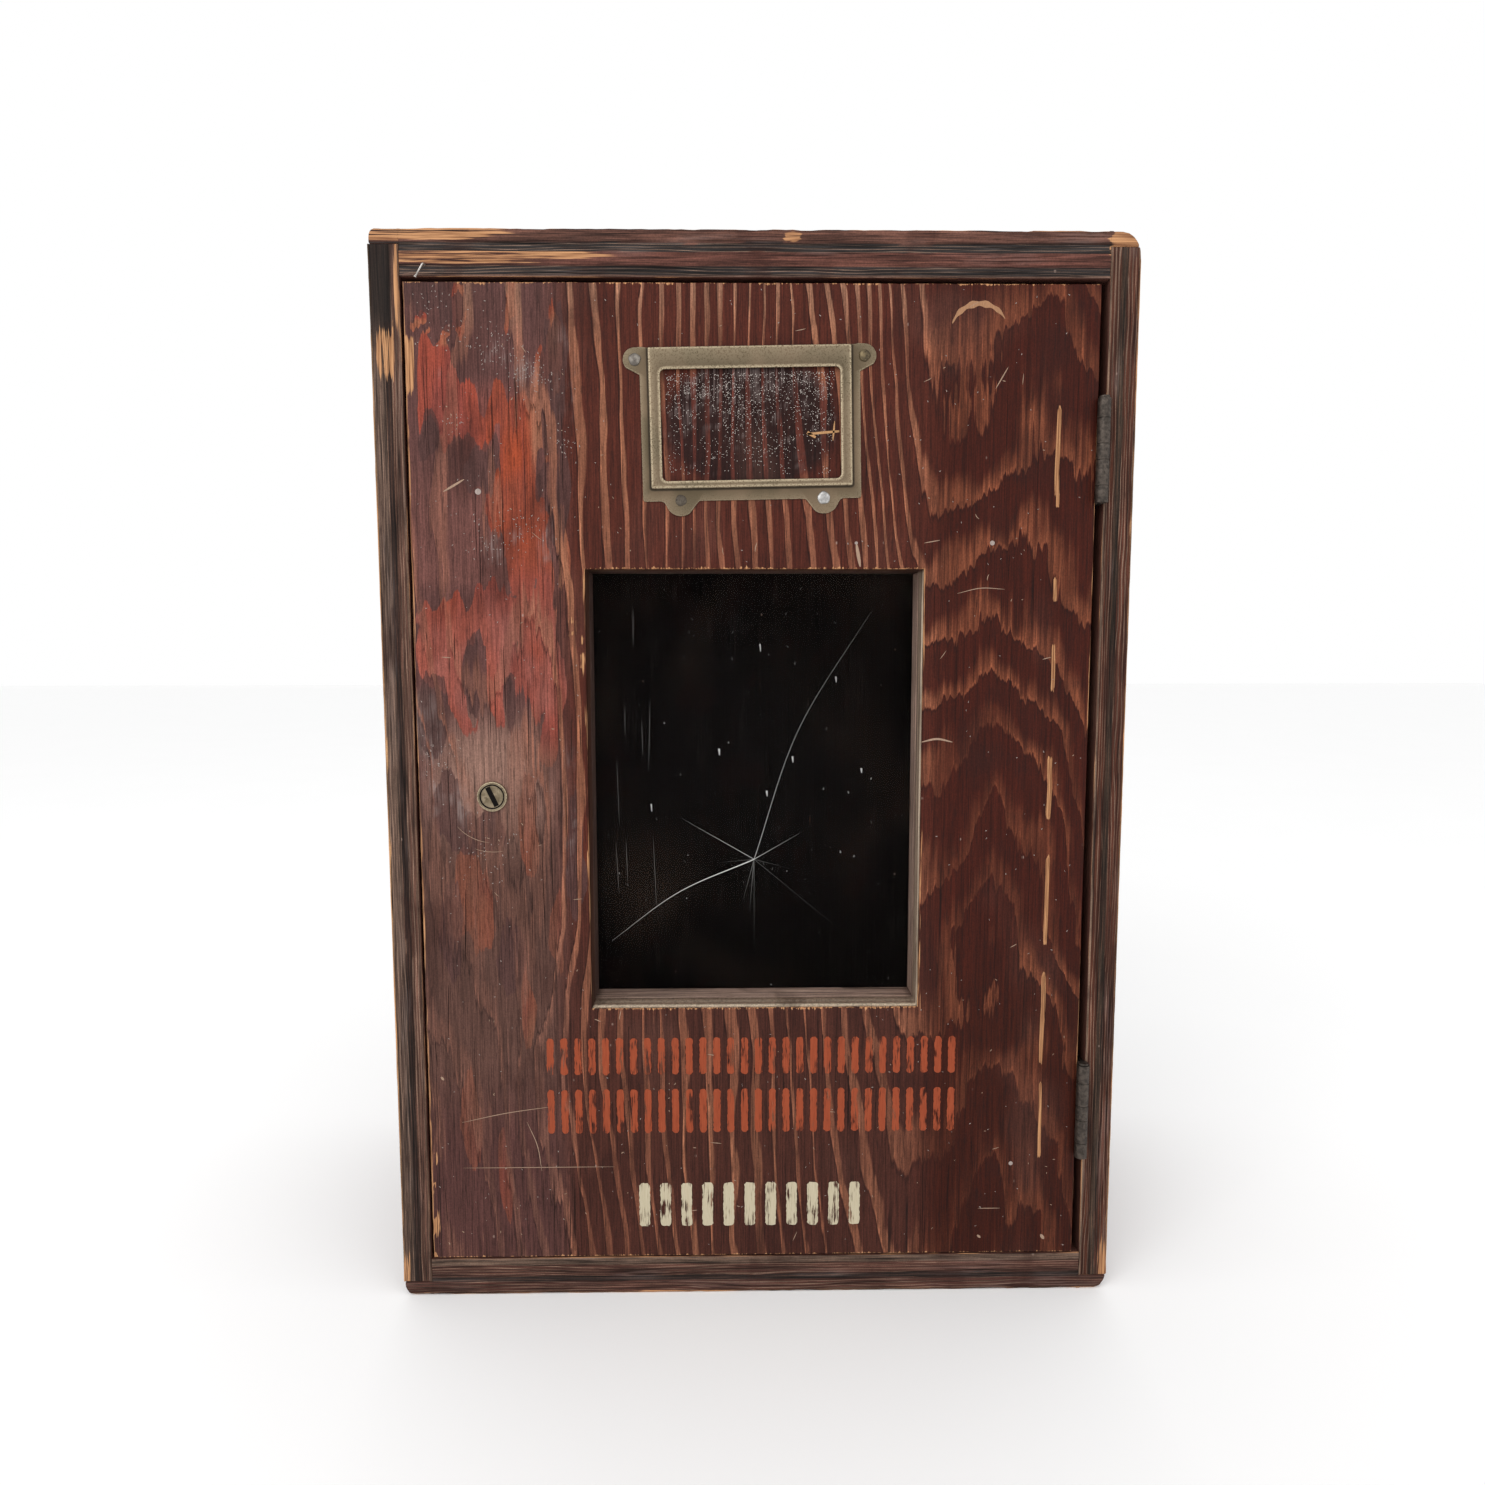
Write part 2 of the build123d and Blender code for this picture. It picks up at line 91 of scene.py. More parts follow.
INSET = 0.12  # how far a visual board stays inside the CAD board's faces
SLOT_TILT = math.radians(25.0)

# Each corner of the case: which side, top or bottom, and the radius it is worn to
CORNERS = ((-1, 1, 6.0), (1, 1, 14.0), (-1, -1, 8.0), (1, -1, 10.0))


# Fields

def smooth(value, start, end):
    """0 below start, 1 above end, with soft ends."""
    t = np.clip((value - start) / (end - start), 0, 1)
    return t * t * (3 - 2 * t)


def noise(u, v, seed):
    """Smooth random values from -1 to 1 over a unit lattice."""
    table = TABLES[seed % len(TABLES)]
    iu, iv = np.floor(u).astype(int), np.floor(v).astype(int)
    fu, fv = u - iu, v - iv
    fu, fv = fu * fu * (3 - 2 * fu), fv * fv * (3 - 2 * fv)
    a = table[iu % 256, iv % 256]
    b = table[(iu + 1) % 256, iv % 256]
    c = table[iu % 256, (iv + 1) % 256]
    d = table[(iu + 1) % 256, (iv + 1) % 256]
    return (a * (1 - fu) + b * fu) * (1 - fv) + (c * (1 - fu) + d * fu) * fv


def rough(u, v, seed):
    """Three octaves of noise."""
    total, weight = 0, 1
    for level in range(3):
        total = total + noise(u * 2 ** level, v * 2 ** level, seed + level) * weight
        weight *= 0.5
    return total / 1.6


def blob(x, z, spot):
    """1 at the middle of an ellipse and 0 at its rim; negative outside."""
    cx, cz, wide, tall = spot
    return 1 - np.sqrt(((x - cx) / wide) ** 2 + ((z - cz) / tall) ** 2)


def linear(colour):
    """An 8-bit colour as linear values."""
    c = np.array(colour, float) / 255
    return np.where(c <= 0.04045, c / 12.92, ((c + 0.055) / 1.055) ** 2.4)


def brighter(colour):
    """A paler form of an 8-bit colour."""
    return [min(255, channel * 1.35) for channel in colour]


def paint(shape, tones, default):
    """Blend colours over points: tones is a list of (colour, weight from 0 to 1)."""
    out = np.broadcast_to(linear(default), shape + (3,)).copy()
    for colour, weight in tones:
        w = np.clip(weight, 0, 1)[..., None]
        out = out * (1 - w) + linear(colour) * w
    return out


# Meshes

def make_piece(name, points, faces, material, fields=None, smooth_faces=True):
    """An object from points in millimetres and faces, with a value per point for each field."""
    mesh = bpy.data.meshes.new(name)
    faces = faces.tolist() if isinstance(faces, np.ndarray) else faces
    mesh.from_pydata((np.asarray(points) * MM).tolist(), [], faces)
    for key, value in (fields or {}).items():
        value = np.asarray(value, float)
        if value.ndim == 2:
            layer = mesh.attributes.new(key, "FLOAT_COLOR", "POINT")
            full = np.concatenate([value, np.ones((len(value), 1))], 1)
            layer.data.foreach_set("color", full.ravel())
        else:
            layer = mesh.attributes.new(key, "FLOAT", "POINT")
            layer.data.foreach_set("value", value.ravel())
    if smooth_faces:
        mesh.shade_smooth()
    mesh.materials.append(material)
    piece = bpy.data.objects.new(name, mesh)
    bpy.context.scene.collection.objects.link(piece)
    return piece


def lattice_shell(xs, ys, zs, filled=None):
    """Points and outward quads round the filled cells of a lattice."""
    shape = (len(xs) - 1, len(ys) - 1, len(zs) - 1)
    if filled is None:
        filled = np.ones(shape, bool)
    padded = np.pad(filled, 1)
    number = np.arange(len(xs) * len(ys) * len(zs)).reshape(len(xs), len(ys), len(zs))
    quads = []
    for axis in range(3):
        for end in (0, 1):
            shift = [slice(1, -1)] * 3
            shift[axis] = slice(0, -2) if end == 0 else slice(2, None)
            open_side = filled & ~padded[tuple(shift)]
            cell = np.argwhere(open_side)
            cell[:, axis] += end
            first, second = [a for a in range(3) if a != axis]
            corners = []
            for i, j in ((0, 0), (1, 0), (1, 1), (0, 1)):
                spot = cell.copy()
                spot[:, first] += i
                spot[:, second] += j
                corners.append(number[spot[:, 0], spot[:, 1], spot[:, 2]])
            quad = np.stack(corners, 1)
            if (end == 0) != (axis == 1):
                quad = quad[:, ::-1]
            quads.append(quad)
    quads = np.concatenate(quads)
    used, packed = np.unique(quads, return_inverse=True)
    grid = np.stack(np.meshgrid(xs, ys, zs, indexing="ij"), -1).reshape(-1, 3)
    return grid[used], packed.reshape(quads.shape)


def lines(low, high, step, fine=(0.35, 0.9, 1.8, 3.2), marks=()):
    """Lattice lines from low to high, closer together at the ends and at the marks."""
    count = max(2, int(round((high - low) / step)) + 1)
    values = list(np.linspace(low, high, count))
    for offset in fine:
        values += [low + offset, high - offset]
    values += list(marks)
    values = sorted(v for v in values if low <= v <= high)
    keep = [values[0]]
    for v in values[1:]:
        if v - keep[-1] > 0.24:
            keep.append(v)
    keep[-1] = high
    return np.array(keep)


def round_edges(points, low, high, radius):
    """Pull a box surface in to rounded edges; the radius may vary from point to point."""
    radius = np.asarray(radius, float)[:, None]
    inner = np.clip(points, low + radius, high - radius)
    out = points - inner
    length = np.maximum(np.linalg.norm(out, axis=1, keepdims=True), 1e-9)
    return inner + out * (radius / length)


def round_outline(points):
    """Pull points in to the case's worn corners, seen from the front."""
    points = points.copy()
    for side, up, radius in CORNERS:
        cx = side * (CASE_HIGH[0] - radius)
        cz = CASE_TOP - radius if up > 0 else CASE_BASE + radius
        dx, dz = points[:, 0] - cx, points[:, 2] - cz
        outside = (dx * side > 0) & (dz * up > 0)
        reach = np.hypot(dx, dz)
        limit = radius - INSET
        scale = np.where(outside & (reach > limit), limit / np.maximum(reach, 1e-9), 1)
        points[:, 0] = cx + dx * scale
        points[:, 2] = cz + dz * scale
    return points


def ribbon(track, widths):
    """A flat strip of points and quads along a track of (x, z) points."""
    track = np.asarray(track, float)
    step = np.gradient(track, axis=0)
    step /= np.maximum(np.linalg.norm(step, axis=1, keepdims=True), 1e-9)
    across = np.stack([-step[:, 1], step[:, 0]], 1) * (np.asarray(widths)[:, None] / 2)
    return track + across, track - across


def ribbons(name, tracks, y, material):
    """Thin flat strips just in front of a face: tracks is a list of (points, widths)."""
    points, faces = [], []
    for track, widths in tracks:
        one, other = ribbon(track, widths)
        start, count = len(points), len(one)
        points += [(p[0], y, p[1]) for p in one] + [(p[0], y, p[1]) for p in other]
        for i in range(count - 1):
            a, b = start + i, start + i + 1
            faces.append((a, b, b + count, a + count))
    return make_piece(name, np.array(points), faces, material, smooth_faces=False)


def curve_through(stops, count=24):
    """A smooth track through a few (x, z) stops."""
    stops = np.asarray(stops, float)
    t = np.linspace(0, len(stops) - 1, count)
    padded = np.vstack([2 * stops[0] - stops[1], stops, 2 * stops[-1] - stops[-2]])
    out = []
    for value in t:
        i = min(int(value), len(stops) - 2)
        f = value - i
        p0, p1, p2, p3 = padded[i : i + 4]
        out.append(
            0.5 * (2 * p1 + (p2 - p0) * f + (2 * p0 - 5 * p1 + 4 * p2 - p3) * f * f
                   + (3 * p1 - p0 - 3 * p2 + p3) * f ** 3)
        )
    return np.array(out)


def ring_faces(rings, count, first=0):
    """Quads between rings of points that follow one another."""
    faces = []
    for row in range(rings - 1):
        a = first + row * count
        b = a + count
        for i in range(count):
            j = (i + 1) % count
            faces.append((a + i, a + j, b + j, b + i))
    return faces


def lathe(name, profile, x, z, material, count=72, fields=None):
    """A piece turned about an axis along Y; the profile is a list of (radius, y)."""
    points = []
    for radius, y in profile:
        for i in range(count):
            a = 2 * math.pi * i / count
            points.append((x + radius * math.cos(a), y, z + radius * math.sin(a)))
    faces = ring_faces(len(profile), count)
    fields = {key: np.repeat(values, count) for key, values in (fields or {}).items()}
    return make_piece(name, np.array(points), faces, material, fields)


# Materials

class Value:
    """A number in a material; arithmetic on it adds the nodes for it."""

    def __init__(self, nodes, socket):
        self.nodes = nodes
        self.socket = socket

    def __add__(self, other):
        return self.nodes.math("ADD", self, other)

    def __radd__(self, other):
        return self.nodes.math("ADD", other, self)

    def __sub__(self, other):
        return self.nodes.math("SUBTRACT", self, other)

    def __rsub__(self, other):
        return self.nodes.math("SUBTRACT", other, self)

    def __mul__(self, other):
        return self.nodes.math("MULTIPLY", self, other)


class Nodes:
    """A short way to write a material's nodes."""

    def __init__(self, name):
        self.material = bpy.data.materials.new(name)
        self.material.use_nodes = True
        self.tree = self.material.node_tree
        self.shader = self.tree.nodes["Principled BSDF"]

    def link(self, source, socket):
        if isinstance(source, Value):
            self.tree.links.new(source.socket, socket)
        elif isinstance(source, (int, float)):
            socket.default_value = source
        elif isinstance(source, (tuple, list, np.ndarray)):
            source = list(source)
            if len(source) == 3 and len(socket.default_value) == 4:
                source = source + [1.0]
            socket.default_value = source
        else:
            self.tree.links.new(source, socket)

    def node(self, kind, **settings):
        node = self.tree.nodes.new(kind)
        for key, value in settings.items():
            setattr(node, key, value)
        return node

    def math(self, operation, *values):
        node = self.node("ShaderNodeMath", operation=operation)
        for socket, value in zip(node.inputs, values):
            self.link(value, socket)
        return Value(self, node.outputs[0])

    def step(self, value, start, end):
        node = self.node("ShaderNodeMapRange", interpolation_type="SMOOTHSTEP")
        self.link(value, node.inputs["Value"])
        self.link(start, node.inputs["From Min"])
        self.link(end, node.inputs["From Max"])
        return Value(self, node.outputs["Result"])

    def mix(self, factor, a, b, blend="MIX"):
        node = self.node("ShaderNodeMix", data_type="RGBA", blend_type=blend)
        self.link(factor, node.inputs[0])
        self.link(a, node.inputs[6])
        self.link(b, node.inputs[7])
        return node.outputs[2]

    def shade(self, colour, value):
        """A colour times a number."""
        grey = self.node("ShaderNodeCombineColor")
        for socket in grey.inputs:
            self.link(value, socket)
        return self.mix(1.0, colour, grey.outputs[0], "MULTIPLY")

    def value(self, key):
        return Value(self, self.node("ShaderNodeAttribute", attribute_name=key).outputs["Fac"])

    def colour(self, key):
        return self.node("ShaderNodeAttribute", attribute_name=key).outputs["Color"]

    def place(self, scale, turn=0.0):
        """Object coordinates times a scale per millimetre on each axis."""
        source = self.node("ShaderNodeTexCoord").outputs["Object"]
        node = self.node("ShaderNodeMapping")
        self.link(source, node.inputs["Vector"])
        node.inputs["Scale"].default_value = [s / MM for s in scale]
        node.inputs["Rotation"].default_value = (0, turn, 0)
        return node.outputs[0]

    def noise(self, scale, detail=2.0, turn=0.0, distortion=0.0):
        node = self.node("ShaderNodeTexNoise")
        self.link(self.place(scale, turn), node.inputs["Vector"])
        node.inputs["Scale"].default_value = 1.0
        node.inputs["Detail"].default_value = detail
        node.inputs["Distortion"].default_value = distortion
        return Value(self, node.outputs["Fac"])

    def cells(self, scale):
        node = self.node("ShaderNodeTexVoronoi")
        self.link(self.place(scale), node.inputs["Vector"])
        node.inputs["Scale"].default_value = 1.0
        return node.outputs

    def bump(self, height, strength, distance):
        node = self.node("ShaderNodeBump")
        self.link(height, node.inputs["Height"])
        node.inputs["Strength"].default_value = strength
        node.inputs["Distance"].default_value = distance * MM
        self.link(node.outputs[0], self.shader.inputs["Normal"])

    def finish(self, colour, roughness, metallic=0.0, specular=0.5):
        self.link(colour, self.shader.inputs["Base Color"])
        self.link(roughness, self.shader.inputs["Roughness"])
        self.link(metallic, self.shader.inputs["Metallic"])
        self.shader.inputs["Specular IOR Level"].default_value = specular
        return self.material


def along(axis, fast, slow):
    """A noise scale that is slow along the grain's axis and fast across it."""
    return tuple(slow if i == axis else fast for i in range(3))


def ragged(n, key, wave, fuzz):
    """A field that is cut off at a half along fibrous edges."""
    return n.step(n.value(key) + wave * 0.5 + fuzz * 0.22, 0.475, 0.515)


def wood_nodes(n, axis):
    """Grain, patches, wear and marks of stained wood whose fibres run along an axis."""
    fibre = n.noise(along(axis, 0.42, 0.011), 3.0)
    hair = n.noise(along(axis, 1.15, 0.03), 3.0)
    wave = fibre - 0.5
    fuzz = hair - 0.5
    # growth rings: a pale band that rises softly and ends at a dark line
    ring = n.math("FRACT", n.value("phase") + wave * n.value("tooth") + fuzz * 0.07)
    swell = n.noise(along(axis, 0.045, 0.011), 2.0)
    soft = n.value("soft")
    shown = n.value("streak")
    start = 0.30 + swell * 0.80 - soft * 0.30
    stop = start + (0.07 + soft * 0.50)
    fall = 1.0 - n.step(ring, 0.965, 0.995)
    streak = n.step(ring, start, stop) * fall * shown * (0.15 + fibre * 1.6)
    # patches that have kept their stain, and dusky ones
    patch = ragged(n, "patch", wave, fuzz)
    dusk = ragged(n, "dusk", wave, fuzz)
    flame = n.step(n.noise(along(axis, 0.05, 0.012), 2.0), 0.40, 0.62)
    glow = n.mix(flame * 0.35, n.colour("ember"), linear((150, 62, 34)))
    glow = n.mix(n.step(fibre, 0.56, 0.66) * 0.45, glow, linear((92, 42, 36)))
    colour = n.mix(patch * n.value("glow"), n.colour("tone"), glow)
    colour = n.mix(dusk * 0.8, colour, linear((72, 48, 45)))
    colour = n.mix(streak, colour, n.colour("accent"))
    lip = n.step(ring, 0.90, 0.93) * fall * n.step(swell + fuzz, 0.50, 0.62) * (1.0 - soft * 0.7)
    bright = n.mix(1.0, n.colour("accent"), (1.35, 1.3, 1.25), "MULTIPLY")
    colour = n.mix(lip * shown, colour, bright)
    line = 1.0 - n.step(ring, 0.0, 0.07)
    colour = n.mix(line * shown, colour, linear((34, 16, 13)))
    # fibres, clouds, grit and pores
    crisp = n.value("crisp")
    shade = 1.0 + (fuzz * (1.25 + crisp * 2.2) + wave * (0.5 + crisp * 2.0))
    colour = n.shade(colour, n.math("MAXIMUM", shade, 0.2))
    cloud = n.noise((0.03, 0.03, 0.018), 4.0, distortion=0.5)
    colour = n.mix(n.step(cloud, 0.52, 0.7) * 0.4, colour, linear((44, 19, 15)))
    grit = n.noise((1.4, 1.4, 1.1), 2.0) - 0.5
    colour = n.shade(colour, 1.0 + grit * 0.9)
    pores = n.step(n.noise(along(axis, 1.7, 0.09), 1.0), 0.58, 0.68)
    colour = n.mix(pores * 0.45, colour, linear((28, 15, 13)))
    # drying checks, scuffs, bare wood and specks
    middle = n.math("ABSOLUTE", n.noise(along(axis, 0.09, 0.0010), 1.0, distortion=0.1) - 0.5)
    check = 1.0 - n.step(middle, 0.0006, 0.0022)
    check = check * n.step(n.noise((0.02, 0.02, 0.011), 1.0), 0.46, 0.54)
    colour = n.mix(check * 0.8, colour, linear((22, 12, 11)))
    grey = n.value("grey") * n.step(hair, 0.42, 0.58)
    colour = n.mix(grey, colour, linear((138, 124, 120)))
    worn = n.step(n.value("worn") + wave * 1.1 + fuzz, 0.46, 0.6)
    bare = n.mix(n.step(hair, 0.3, 0.7), linear((120, 78, 52)), linear((202, 150, 106)))
    colour = n.mix(worn * 0.88, colour, bare)
    cell = n.cells((0.075, 0.075, 0.055))
    chosen = n.node("ShaderNodeSeparateColor")
    n.link(cell["Color"], chosen.inputs[0])
    speck = 1.0 - n.step(cell["Distance"], 0.03, 0.075)
    speck = speck * n.step(chosen.outputs[0], 0.72, 0.76) * n.step(fuzz, -0.06, 0.06)
    colour = n.mix(speck * 0.6, colour, linear((166, 142, 130)))
    relief = hair * 0.5 + fibre * 0.5 - check * 1.2 - worn * 0.35
    return colour, relief, hair, worn


def wood(name, axis):
    """Stained wood with the fields of its vertices."""
    n = Nodes(name)
    colour, relief, hair, worn = wood_nodes(n, axis)
    n.bump(relief, 0.5, 0.3)
    return n.finish(colour, 0.44 + hair * 0.22 + worn * 0.2, specular=0.11)


def stencil_paint(name, axis, fresh, faded, cover):
    """Old stencil paint that has worn off the wood's high fibres."""
    n = Nodes(name)
    colour, relief, _, _ = wood_nodes(n, axis)
    wear_off = n.noise((0.22, 0.22, 0.07), 4.0)
    grain = n.noise((2.2, 2.2, 0.12), 3.0)
    left = n.step(wear_off * 0.8 + grain * 0.6 + n.value("film"), cover, cover + 0.12)
    tint = n.mix(grain, linear(faded), linear(fresh))
    colour = n.mix(left * 0.92, colour, tint)
    n.bump(relief + left * 0.3, 0.45, 0.3)
    return n.finish(colour, 0.62, specular=0.1)


def clear_glass():
    """A thin old pane: clear, with smears, dust and long scuffs on it."""
    n = Nodes("pane_glass")
    cloud = n.step(n.noise((0.009, 0.009, 0.007), 2.0, distortion=0.6), 0.45, 0.75)
    dust = n.step(n.noise((0.35, 0.35, 0.35), 3.0), 0.72, 0.80)
    scuff = n.step(n.noise((0.7, 0.7, 0.008), 2.0), 0.68, 0.76)
    base = n.mix(cloud, linear((12, 8, 7)), linear((50, 39, 32)))
    base = n.mix(dust * 0.5, base, linear((150, 142, 132)))
    film = 0.16 + cloud * 0.06 + (dust + scuff) * 0.07
    n.link(film, n.shader.inputs["Alpha"])
    n.bump(n.noise((0.012, 0.012, 0.01), 1.0), 0.12, 0.6)
    return n.finish(base, 0.06 + (dust + cloud) * 0.08, specular=0.06)


def flat_mark(name, colour, roughness):
    """A scratch or chip: a pale colour broken up by fine noise."""
    n = Nodes(name)
    grain = n.noise((1.6, 1.6, 0.35), 3.0)
    dark = linear([c * 0.72 for c in colour])
    tint = n.mix(grain, dark, linear(colour))
    n.bump(grain, 0.3, 0.1)
    return n.finish(tint, roughness, specular=0.15)


def metal(name, tones, roughness, metallic=0.85, scale=0.25):
    """Aged metal: two tones in patches, dark grime, fine scratches and pits."""
    n = Nodes(name)
    patches = n.noise((scale, scale, scale), 4.0, distortion=0.4)
    fine = n.noise((2.2, 2.2, 2.2), 2.0)
    drag = n.noise((3.0, 3.0, 0.2), 2.0, turn=0.5)
    colour = n.mix(n.step(patches, 0.36, 0.64), linear(tones[0]), linear(tones[1]))
    darkening = n.step(n.noise((scale * 2.3,) * 3, 3.0), 0.56, 0.74)
    colour = n.mix(darkening * 0.55, colour, linear(tones[2]))
    colour = n.mix(n.step(drag, 0.62, 0.72) * 0.3, colour, linear(brighter(tones[1])))
    n.bump(patches * 0.6 + fine * 0.4, 0.3, 0.15)
    return n.finish(colour, roughness + darkening * 0.25 + fine * 0.1, metallic=metallic)


def pressed_brass():
    """Olive-brown brass: its ridges lighter as rubbed wear and painted highlight, its grooves darker as
    grime and painted shade.
    """
    n = Nodes("aged_brass")
    patches = n.noise((0.03, 0.03, 0.03), 4.0, distortion=0.3)
    fine = n.noise((1.2, 1.2, 1.2), 3.0)
    drag = n.noise((1.5, 1.5, 0.08), 2.0, turn=1.35)
    colour = n.mix(n.step(patches, 0.35, 0.65), linear((88, 76, 57)), linear((112, 94, 74)))
    colour = n.mix(n.step(fine, 0.55, 0.75) * 0.35, colour, linear((70, 60, 44)))
    # Painted highlight and rubbed wear on the ridges, then painted shade and grime in the grooves.
    colour = n.mix(n.value("rub_and_highlight") * n.step(fine, 0.3, 0.55), colour, linear((186, 170, 142)))
    colour = n.mix(n.value("darkening") * 0.85, colour, linear((36, 30, 22)))
    n.bump(fine * 0.5 + drag * 0.3, 0.2, 0.12)
    return n.finish(colour, 0.38 + fine * 0.2, metallic=0.6, specular=0.3)


# The door

RED_SPOTS = (
    (-197, 598, 12, 24), (-188, 578, 14, 22), (-177, 566, 9, 18), (-206, 568, 4, 20), (-160, 574, 7, 16),
    (-142, 545, 14, 44), (-150, 512, 17, 20), (-146, 492, 9, 30), (-134, 478, 5, 28), (-166, 556, 6, 20),
    (-166, 452, 46, 14), (-196, 434, 18, 24), (-160, 420, 11, 34), (-136, 425, 13, 42), (-184, 408, 9, 24),
    (-183, 268, 15, 30), (-148, 318, 8, 34), (-132, 372, 6, 22), (-150, 200, 4, 30), (-186, 120, 6, 34),
    (-166, 76, 5, 30), (-128, 250, 4, 30),
)
TAN_SPOTS = (
    (-134, 575, 5, 34), (-179, 640, 4, 18), (-152, 642, 5, 16), (-122, 480, 4, 40), (-205, 628, 8, 4),
    (-190, 622, 6, 5), (-124, 610, 4, 26),
)
DARK_SPOTS = (
    (-172, 545, 13, 13), (-134, 537, 4, 15), (-179, 415, 6, 27), (-156, 402, 4, 24),
    (-203, 556, 7, 16), (-120, 450, 5, 26),
)
DUSK_SPOTS = (
    (-208, 388, 9, 26), (-182, 316, 22, 17), (-198, 334, 8, 24), (-172, 545, 12, 12), (-134, 537, 3, 14),
    (-179, 415, 5, 24), (-156, 402, 3, 21), (-126, 592, 8, 50), (-120, 520, 5, 30), (-196, 640, 22, 12),
    (-204, 560, 6, 14), (-160, 232, 10, 26), (-196, 250, 8, 30), (-118, 300, 5, 44),
)


def pale_spans():
    """Strips of bare wood up the hinge edge: each one's x, low end, high end and width."""
    rng = np.random.default_rng(43)
    x = DOOR_HIGH[0] - 24
    low = DOOR_LOW[2] + 65
    top = DOOR_HIGH[2] - 35
    spans = []
    while low < top - 15:
        high = min(low + rng.uniform(20, 75), top)
        spans.append((x, low, high, rng.uniform(1.8, 2.7)))
        low = high + rng.uniform(8, 40)
    return spans


PALE_SPANS = pale_spans()


def running_total(values, at, x):
    """The integral of values over at, read at x."""
    steps = np.diff(at) * (values[1:] + values[:-1]) / 2
    total = np.concatenate([[0], np.cumsum(steps)])
    return np.interp(x, at, total)


def door_phase(x, z):
    """The number of growth rings up to a point: whole numbers are the rings' crisp edges."""
    at = np.linspace(-260, 260, 1041)
    right = smooth(at, 70, 118)
    left = smooth(-at, 112, 140)
    density = -(1 - right) * (1 - left) / 11.5 - left / 34
    across = running_total(density, at, x)
    heights = np.linspace(-20, 720, 1481)
    period = 68 - 12 * smooth(heights, 420, 530)
    rise = running_total(1 / period, heights, z) - running_total(1 / period, heights, 341.0)
    share = 0.05 + 0.40 * smooth(x, -70, 30) + 0.55 * smooth(x, 40, 115) + 0.2 * smooth(-x, 110, 150)
    peak = 152 + 26 * smooth(z, 420, 560)
    arch = 30 * np.exp(-(((x - peak) / 26) ** 2)) - 46 * smooth(x, 182, 222)
    arch = arch * smooth(x, 100, 128) / 56
    warp = 0.75 * noise(x / 60 + 3.1, z / 170, 0) + 0.34 * rough(x / 24, z / 85, 1)
    warp = warp + left_share(x) * (0.9 * noise(x / 46, z / 120 + 5, 3) + 0.25 * rough(x / 20, z / 60, 4))
    warp = warp + smooth(x, 100, 130) * (0.55 * noise(x / 38, z / 62, 6) + 0.22 * rough(x / 17, z / 26, 7))
    return across - share * rise + arch + warp + 0.5


def left_share(x):
    """1 on the lock side of the door, 0 elsewhere."""
    return smooth(-x, 112, 138)


def right_share(x):
    """1 on the hinge side of the door, 0 elsewhere."""
    return smooth(x, 95, 125)


def spot_field(x, z, spots, seed, holes=()):
    """Patches with wandering, flame-like edges: above 0.5 inside the spots."""
    wx = x + 5 * rough(x / 22, z / 40, seed)
    wz = z + 17 * rough(x / 7, z / 70, seed + 1)
    field = np.full_like(x, -1.0)
    for spot in spots:
        field = np.maximum(field, blob(wx, wz, spot))
    for spot in holes:
        field = np.minimum(field, -blob(wx, wz, spot) * 1.2)
    return np.clip(0.5 + field * 1.1, 0, 1)


def in_card(x, z):
    """1 on the wood that the card holder frames."""
    return smooth(blob(x, z, (HOLDER_X, HOLDER_Z - 4, 80, 60)), 0.25, 0.4) * (np.abs(x - HOLDER_X) < 58)


def door_tone(x, z, card):
    """The stain's own colour over the door."""
    low = rough(x / 60, z / 90, 10)
    left = left_share(x)
    right = right_share(x)
    smooth_zone = left * smooth(z, 462, 476) * (1 - smooth(z, 520, 560))
    lock = smooth(blob(x, z, (-170, 348, 62, 62)), 0, 0.8)
    tones = [
        ((90, 58, 54), left),
        ((102, 65, 59), smooth_zone),
        ((86, 59, 51), left * smooth(-z, -360, -300)),
        ((80, 50, 46), left * smooth(-z, -170, -100)),
        ((146, 112, 98), lock * (0.68 + 0.3 * low)),
        ((60, 21, 12), right),
        ((124, 70, 62), left * smooth(blob(x, z, (-164, 572, 34, 30)), 0, 0.7) * 0.8),
        ((34, 17, 15), card * 0.92),
        ((56, 20, 10), right * smooth(-z, -280, -170)),
        ((68, 36, 28), (1 - left) * (1 - right) * smooth(-z, -300, -200)),
        ((108, 88, 82), smooth(blob(x, z, (-209, 385, 13, 26)), 0, 0.4) * 0.9),
        ((54, 28, 22), smooth(low, 0.35, 0.8) * 0.5),
        ((104, 74, 64), smooth(-low, 0.35, 0.8) * 0.2),
        ((82, 53, 49), left * smooth(z, 615, 640) * 0.7),
    ]
    return paint(x.shape, tones, (76, 34, 24)) * 0.92


def door_ember(x, z):
    """The colour inside the less faded patches."""
    tan = np.zeros_like(x)
    for cx, cz, rx, rz in TAN_SPOTS:
        tan = np.maximum(tan, smooth(blob(x, z, (cx, cz, rx * 1.6, rz * 1.4)), 0.0, 0.4))
    low = rough(x / 16, z / 40, 17)
    tones = [
        ((142, 82, 72), smooth(-z, -480, -440) * smooth(z, 380, 400)),
        ((136, 60, 36), (1 - smooth(-x, 160, 176)) * smooth(z, 470, 490)),
        ((124, 76, 56), smooth(-z, -380, -350)),
        ((146, 96, 72), tan),
        ((112, 48, 36), 0.6 * smooth(low, 0.0, 0.5)),
    ]
    return paint(x.shape, tones, (130, 62, 52))


